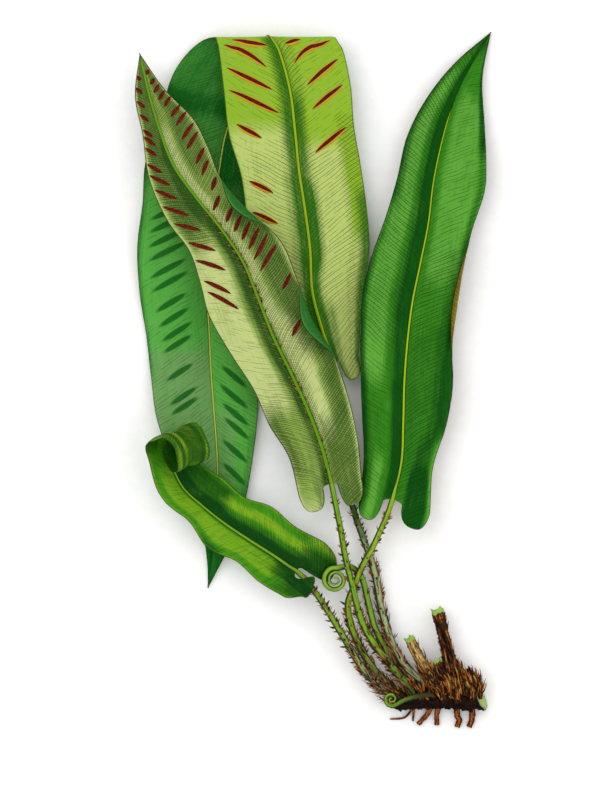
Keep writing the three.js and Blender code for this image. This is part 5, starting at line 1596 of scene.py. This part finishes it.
def stub_ribs(angle, distance):
    """Five broad ribs that twist slowly, and eleven fine ones: height * cosine of their count."""
    high, count, twist = STUB_RIBS["broad"]
    fine_high, fine_count = STUB_RIBS["fine"]
    broad = high * np.cos(count * angle + twist * distance)
    return 1 + broad + fine_high * np.cos(fine_count * angle)


def stub_skin(rows, seed, cap):
    """
    A ribbed stub with a ragged top. Cap is how far down the stub the pale broken tissue shows,
    in millimetres, and 0 for a stub with none.
    """
    path, _ = even_path(rows, STUB_STEP)
    points, _, attributes = stem_skin(path, STUB_STEP, STUB_AROUND, stub_ribs, seed)
    grid = points.reshape(-1, STUB_AROUND, 3)
    _, across, up = ring_frames(path[:, :3])
    direction = unit(path[-1, :3] - path[-2, :3])
    angle = np.linspace(0, 2 * np.pi, STUB_AROUND, endpoint=False)[:, None]
    ring = across[-1] * np.cos(angle) + up[-1] * np.sin(angle)
    ragged = sum(high * np.sin(count * angle + turn * seed) for high, count, turn in RAGGED)
    grid[-1] += direction * ragged
    grid[-2] += direction * BELOW_RIM * ragged
    inner = [
        path[-1, :3] + direction * (height + fall * ragged) + ring * share * path[-1, 3]
        for height, share, fall in STUB_LIPS
    ]
    values = {}
    for key, data in attributes.items():
        data = data.reshape(grid.shape)
        values[key] = np.concatenate([data, np.repeat(data[-1:], len(inner), axis=0)])[None]
    from_top = values["stem"][0, -1, 0, 2] - values["stem"][0, :, :, 2] + 0.5 * ragged[:, 0]
    if cap:
        values["part"][0, :, :, 1] = np.clip(CAP_FADE - from_top / cap, 0, 1)
    return tube_skin(np.concatenate([grid, inner])[None], values)


print("rings folded over a broken end:", len(STUB_LIPS))

# %% [markdown]
# ## Woody material
# The rhizome, the leaf bases, the stubs and the roots are dry fibrous tissue. Streaks along the
# stem run from nearly black to orange-brown, painted shade darkens the sides of each stem, and a
# cut end shows pale green tissue. The same graph serves them all with its own colours.

# %% Woody material
PITH = "8fae52"
# How the painted shade on the sides of a woody stem falls.
WOODY_SIDE_SHADE = {"ragged": 0.8, "from": 0.72, "to": 0.98, "strength": 0.8}


def woody_material(name, dark, middle, bright, cut, limits, density=1.1):
    """Streaks from dark over middle to bright, painted shade at the sides, and a pale cut end."""
    material, tree, shader = new_material(name, 0.85, 0.08)
    _, stem = attribute(tree, "stem")
    (_, is_cut, angle), _ = attribute(tree, "part")
    streak = use(tree, STREAKS, {"Stem": stem, "Density": density, "Draw": 0.16})["Streak"]
    mottle = use(tree, MOTTLE, {"Place": stem, "Size": 5.0})
    signal = calc(tree, "MULTIPLY_ADD", mottle["Fine"], 0.35, streak)
    colour = mixed(tree, ramp(tree, signal, 0.38, 0.52), tint(dark), tint(middle))
    colour = mixed(tree, ramp(tree, signal, *limits), colour, tint(bright))
    # Painted shade on both sides of each stem.
    sideways = calc(tree, "ABSOLUTE", calc(tree, "COSINE", angle))
    sideways = calc(tree, "MULTIPLY_ADD", mottle["Fine"], WOODY_SIDE_SHADE["ragged"], sideways)
    shaded_share = ramp(tree, sideways, WOODY_SIDE_SHADE["from"], WOODY_SIDE_SHADE["to"])
    painted_side_shade = calc(tree, "MULTIPLY", shaded_share, WOODY_SIDE_SHADE["strength"])
    colour = mixed(tree, painted_side_shade, colour, tint(dark))
    cut_share = calc(tree, "MULTIPLY_ADD", mottle["Fine"], 0.5, is_cut)
    pale = mixed(tree, ramp(tree, mottle["Fine"], -0.1, 0.15), tint(cut), tint(PITH))
    colour = mixed(tree, ramp(tree, cut_share, 0.45, 0.65), colour, pale)
    tree.links.new(colour, shader.inputs["Base Color"])
    relief(tree, shader, signal, 0.8, 0.0006)
    return material


WOODY = {
    "rhizome": woody_material("rhizome_bark", "0c0603", "1e100a", "6a3a12", "b4c684", (0.62, 0.76)),
    "base": woody_material("leaf_base_brown", "0a0502", "34190a", "b0681c", "8a9a4c", (0.52, 0.62)),
    "root": woody_material("root_rust", "2c1206", "7c3c12", "b8702c", "c08a50", (0.5, 0.62), 1.4),
    "tan": woody_material("stub_sand", "4a3014", "a88448", "ccac70", "8fb84c", (0.5, 0.62), 1.4),
    "dark": woody_material("stub_bark", "0c0603", "3a1c0a", "c06c1e", "9cc05c", (0.53, 0.62), 0.9),
}
print("woody materials:", [look.name for look in WOODY.values()])

# %% [markdown]
# ## Rhizome, leaf bases, roots and stubs
# Twelve leaf bases become one piece and six roots another, because they share a material and a
# node. Each stem has its own seed, so no two are rough in the same way.

# %% Woody pieces
make_piece("rhizome_bark", rhizome_skin(), "rhizome", WOODY["rhizome"])
for key, piece, all_rows in (("base", "leaf_bases", LEAF_BASES), ("root", "roots", ROOTS)):
    numbered = enumerate(all_rows, STEM_SEEDS[key])
    skins = [stem_skin(rows, *STEM_GRIDS[key], seed=seed) for seed, rows in numbered]
    make_piece(piece, joined_skins(skins), "rhizome", WOODY[key])
STUB_CAPS = {"tan": 3.2, "tall": 3.6, "small": 2.2, "rear": 0}
for seed, (name, rows) in enumerate(STUBS.items(), STEM_SEEDS["stub"]):
    look, slot = ("tan", "stub_tan") if name == "tan" else ("dark", "stub_dark")
    skin = stub_skin(rows, seed, STUB_CAPS[name])
    make_piece(f"stub_{name}", skin, f"old_stipe_{name}", WOODY[look])

# %% [markdown]
# ## Chaffy scales
# More than two thousand small pointed scales stand on the stalks, the stubs and the crown. A
# particle system could scatter them, but its copies don't last outside Blender. So they are
# worked out all at once as real faces: each is a thin closed spindle of twenty triangles.

# %% Scale skins
SCALE_BOW = 0.12
SCALE_FLATNESS = 0.4
LOWEST = 0.02
SPINDLE = {"shares": np.array([0.0, 0.3, 0.7, 1.0]), "widths": np.array([0.6, 1.0, 0.55, 0.04])}


def scales_skin(root, tip, width, random):
    """Closed three-sided spindles from root to tip, each with a slight bow."""
    count = len(root)
    along = unit(tip - root)
    spare = unit(random.normal(size=(count, 3)))
    across = unit(np.cross(spare, along))
    up = np.cross(along, across)
    length = np.linalg.norm(tip - root, axis=1)
    shares = SPINDLE["shares"]
    bow = SCALE_BOW * length[:, None] * np.sin(np.pi * shares)
    centre = root[:, None] + (tip - root)[:, None] * shares[None, :, None]
    centre = centre + up[:, None] * bow[..., None]
    angle = np.radians([90, 210, 330])
    radius = width[:, None, None] * SPINDLE["widths"][None, :, None]
    wide, thin = radius * np.cos(angle), SCALE_FLATNESS * radius * np.sin(angle)
    grid = centre[:, :, None] + across[:, None, None] * wide[..., None]
    grid = grid + up[:, None, None] * thin[..., None]
    grid[..., 2] = np.maximum(grid[..., 2], LOWEST)
    shade = np.broadcast_to(random.random(count)[:, None, None], grid.shape[:3])
    along_share = np.broadcast_to(shares[None, :, None], grid.shape[:3])
    attributes = {"scale": np.stack([shade, along_share, 0 * shade], -1)}
    return tube_skin(grid, attributes)


def gathered(parts, random):
    """One skin from several sets of roots, tips and widths."""
    root, tip, width = (np.concatenate([part[i] for part in parts]) for i in range(3))
    return scales_skin(root, tip, width, random)


print("widths of a scale from root to tip, in shares:", SPINDLE["widths"].tolist())

# %% [markdown]
# ## Scales on a stem
# Each scale gets a root on the stem's surface, a direction that leans towards the stem's tip and
# a length. Crowding above 1 gathers them at the lower end, where a stalk is most scaly. The
# draws are seeded, so the plant is the same each time.

# %% Scales on a stem
SCALE_ROOT = 0.85
SCALE_STRAY = 0.1


def scales_on(rows, count, spread, length, lean, random, width, crowding=1.0,
              angles=(0, 360), heading=None):
    """
    Roots, tips and widths of scales on a stem between two shares of its length: the direction is
    the outward one plus lean times the heading, which is the stem's own if none is given.
    """
    path, _ = even_path(rows, 0.5)
    along, across, up = ring_frames(path[:, :3])
    share = spread[0] + (spread[1] - spread[0]) * random.random(count) ** crowding
    at = (share * (len(path) - 1)).astype(int)
    angle = np.radians(random.uniform(*angles, count))[:, None]
    outward = across[at] * np.cos(angle) + up[at] * np.sin(angle)
    root = path[at, :3] + outward * path[at, 3:4] * SCALE_ROOT
    ahead = along[at] if heading is None else unit(np.array(heading))
    way = outward + ahead * (lean * random.uniform(0.6, 1.4, count))[:, None]
    way = unit(unit(way) + SCALE_STRAY * random.normal(size=(count, 3)))
    size = (length[0] + (length[1] - length[0]) * share) * random.uniform(0.6, 1.3, count)
    tip = root + way * size[:, None]
    tip[:, 2] = np.maximum(tip[:, 2], 0.1)
    return root, tip, np.full(count, width) * random.uniform(0.7, 1.3, count)


# %% [markdown]
# ## Scale material
# Chaff is a mixture of nearly black, rust and straw. A random shade stored on each scale chooses
# its brown, so one material gives them all.

# %% Scale material
def scale_material(name, dark, bright, straw):
    """Each scale has its own brown between dark and bright, and a tip that may be straw."""
    material, tree, shader = new_material(name, 0.7, 0.2)
    (shade, share, _), _ = attribute(tree, "scale")
    colour = mixed(tree, ramp(tree, shade, 0.46, 0.6), tint(dark), tint(bright))
    tipped = calc(tree, "MULTIPLY", ramp(tree, share, 0.2, 0.9), ramp(tree, shade, 0.6, 0.8))
    place = add(tree, "ShaderNodeTexCoord", {}).outputs["Object"]
    mottle = use(tree, MOTTLE, {"Place": place, "Size": 0.004})
    tipped = calc(tree, "ADD", tipped, mottle["Broad"], clamp=True)
    colour = mixed(tree, tipped, colour, tint(straw))
    tree.links.new(colour, shader.inputs["Base Color"])
    relief(tree, shader, mottle["Fine"], 0.3, 0.0001)
    return material


SCALE_LOOKS = {
    "stalk": scale_material("stalk_scales", "2c0c06", "8c3a12", "b09060"),
    "crown": scale_material("crown_scales", "080402", "a85416", "b8a44c"),
}

print("scale materials:", [look.name for look in SCALE_LOOKS.values()])

# %% [markdown]
# ## Scales in place
# A stalk has two sets: short broad ones that stand out all along it and long fine ones that lie
# close at its foot. The chaff of the crown follows each leaf base, and on the rhizome it leans
# the way the stalks go.

# %% Scales in place
random = np.random.default_rng(31)
STALK_SCALES = {"right": 130, "front": 130, "back": 200, "young": 170}
STUB_SCALES = {"tan": 45, "tall": 70, "small": 45, "rear": 45}
CROWN_HEADING = (-0.75, 1.0, 0.2)
CROZIER_STEM = len(CROZIERS["tall"]["stem"])

for name, count in STALK_SCALES.items():
    rows = STALK_ROWS[name][:-len(STALK_END)]
    spread_out = scales_on(rows, count, (0.1, 0.96), (3.2, 2.2), 0.8, random, 0.66, 1.1)
    crowded = scales_on(rows, count, (0.02, 0.42), (7.5, 3.5), 4.0, random, 0.36, 1.3)
    skin = gathered([spread_out, crowded], random)
    make_piece(f"stalk_scales_{name}", skin, f"frond_{name}_stipe", SCALE_LOOKS["stalk"])
for name, count in STUB_SCALES.items():
    parts = [scales_on(STUBS[name], count, (0.05, 0.85), (8, 4), 4.5, random, 0.4, 1.6)]
    slot = "stub_tan" if name == "tan" else "stub_dark"
    make_piece(f"stub_scales_{name}", gathered(parts, random), f"old_stipe_{name}",
               SCALE_LOOKS["crown"])
chaff = [scales_on(rows, 34, (0.1, 1.0), (6.5, 4.5), 6.0, random, 0.5) for rows in LEAF_BASES]
chaff.append(scales_on(RHIZOME, 180, (0.02, 0.72), (8, 3.5), 4.5, random, 0.55,
                       angles=(-10, 190), heading=CROWN_HEADING))
make_piece("crown_chaff", gathered(chaff, random), "rhizome", SCALE_LOOKS["crown"])
stem = CROZIER_ROWS["tall"][:CROZIER_STEM]
parts = [scales_on(stem, 110, (0.05, 0.9), (5.5, 2.2), 3.0, random, 0.32, 1.6)]
make_piece("crozier_scales", gathered(parts, random), "crozier_tall", SCALE_LOOKS["stalk"])

# %% [markdown]
# ## Scales beside the midrib
# On the underside of the fertile front frond small red-brown scales line both sides of the
# midrib over its lower two thirds. They use the same spindles, rooted beside the midrib.

# %% Midrib scales
def midrib_scales(frond, count, spread, random):
    """Roots, tips and widths of scales beside the midrib that lean towards the blade's tip."""
    side = random.choice([-1, 1], count)
    t = random.uniform(*spread, count)
    centre, along, across, face = midrib_frame(frond, t)
    out = side * random.uniform(0.4, 1.0, count)
    root = centre + across * out[:, None] + face * (0.5 * frond["underside"])
    way = unit(across * side[:, None] * 0.8 + along * 0.9 + face * 0.5 * frond["underside"])
    tip = root + way * random.uniform(1.0, 2.4, count)[:, None]
    return root, tip, random.uniform(0.2, 0.36, count)


skin = gathered([midrib_scales(front_frond, 380, (0.1, 7.6), random)], random)
make_piece("midrib_scales_front", skin, "frond_front_blade", SCALE_LOOKS["stalk"])

# %% [markdown]
# ## Floor
# The floor is a plain pale sheet a hair below the plant. It is stage, not part of the plant.

# %% Floor
FLOOR_REACH = 3.0
FLOOR_DROP = 0.0001


def make_floor():
    """A large flat sheet just under the plant."""
    material, tree, shader = new_material("sheet", 0.9, 0.1)
    place = add(tree, "ShaderNodeTexCoord", {}).outputs["Object"]
    mottle = use(tree, MOTTLE, {"Place": place, "Size": 0.05})
    shade = ramp(tree, mottle["Fine"], -0.3, 0.3)
    tree.links.new(mixed(tree, shade, tint("fbfaf8"), tint("ffffff")), shader.inputs["Base Color"])
    mesh = bpy.data.meshes.new("floor")
    signs = [(-1, -1), (1, -1), (1, 1), (-1, 1)]
    corners = [(x * FLOOR_REACH, y * FLOOR_REACH, -FLOOR_DROP) for x, y in signs]
    mesh.from_pydata(corners, [], [(0, 1, 2, 3)])
    mesh.materials.append(material)
    floor = bpy.data.objects.new("floor", mesh)
    bpy.context.scene.collection.objects.link(floor)
    floor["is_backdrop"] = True
    print("floor in metres:", [round(length, 2) for length in floor.dimensions])


make_floor()

# %% [markdown]
# ## Sizes
# The dressed plant must keep the size of the imported one. Both boxes are printed, the imported
# one from the start and the dressed one from now.

# %% Print the sizes and finish
LOOKS_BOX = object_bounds()
for name, corners in (("packed", CAD_BOX), ("dressed", LOOKS_BOX)):
    print(name, [[round(value / MM, 2) for value in corner] for corner in corners])
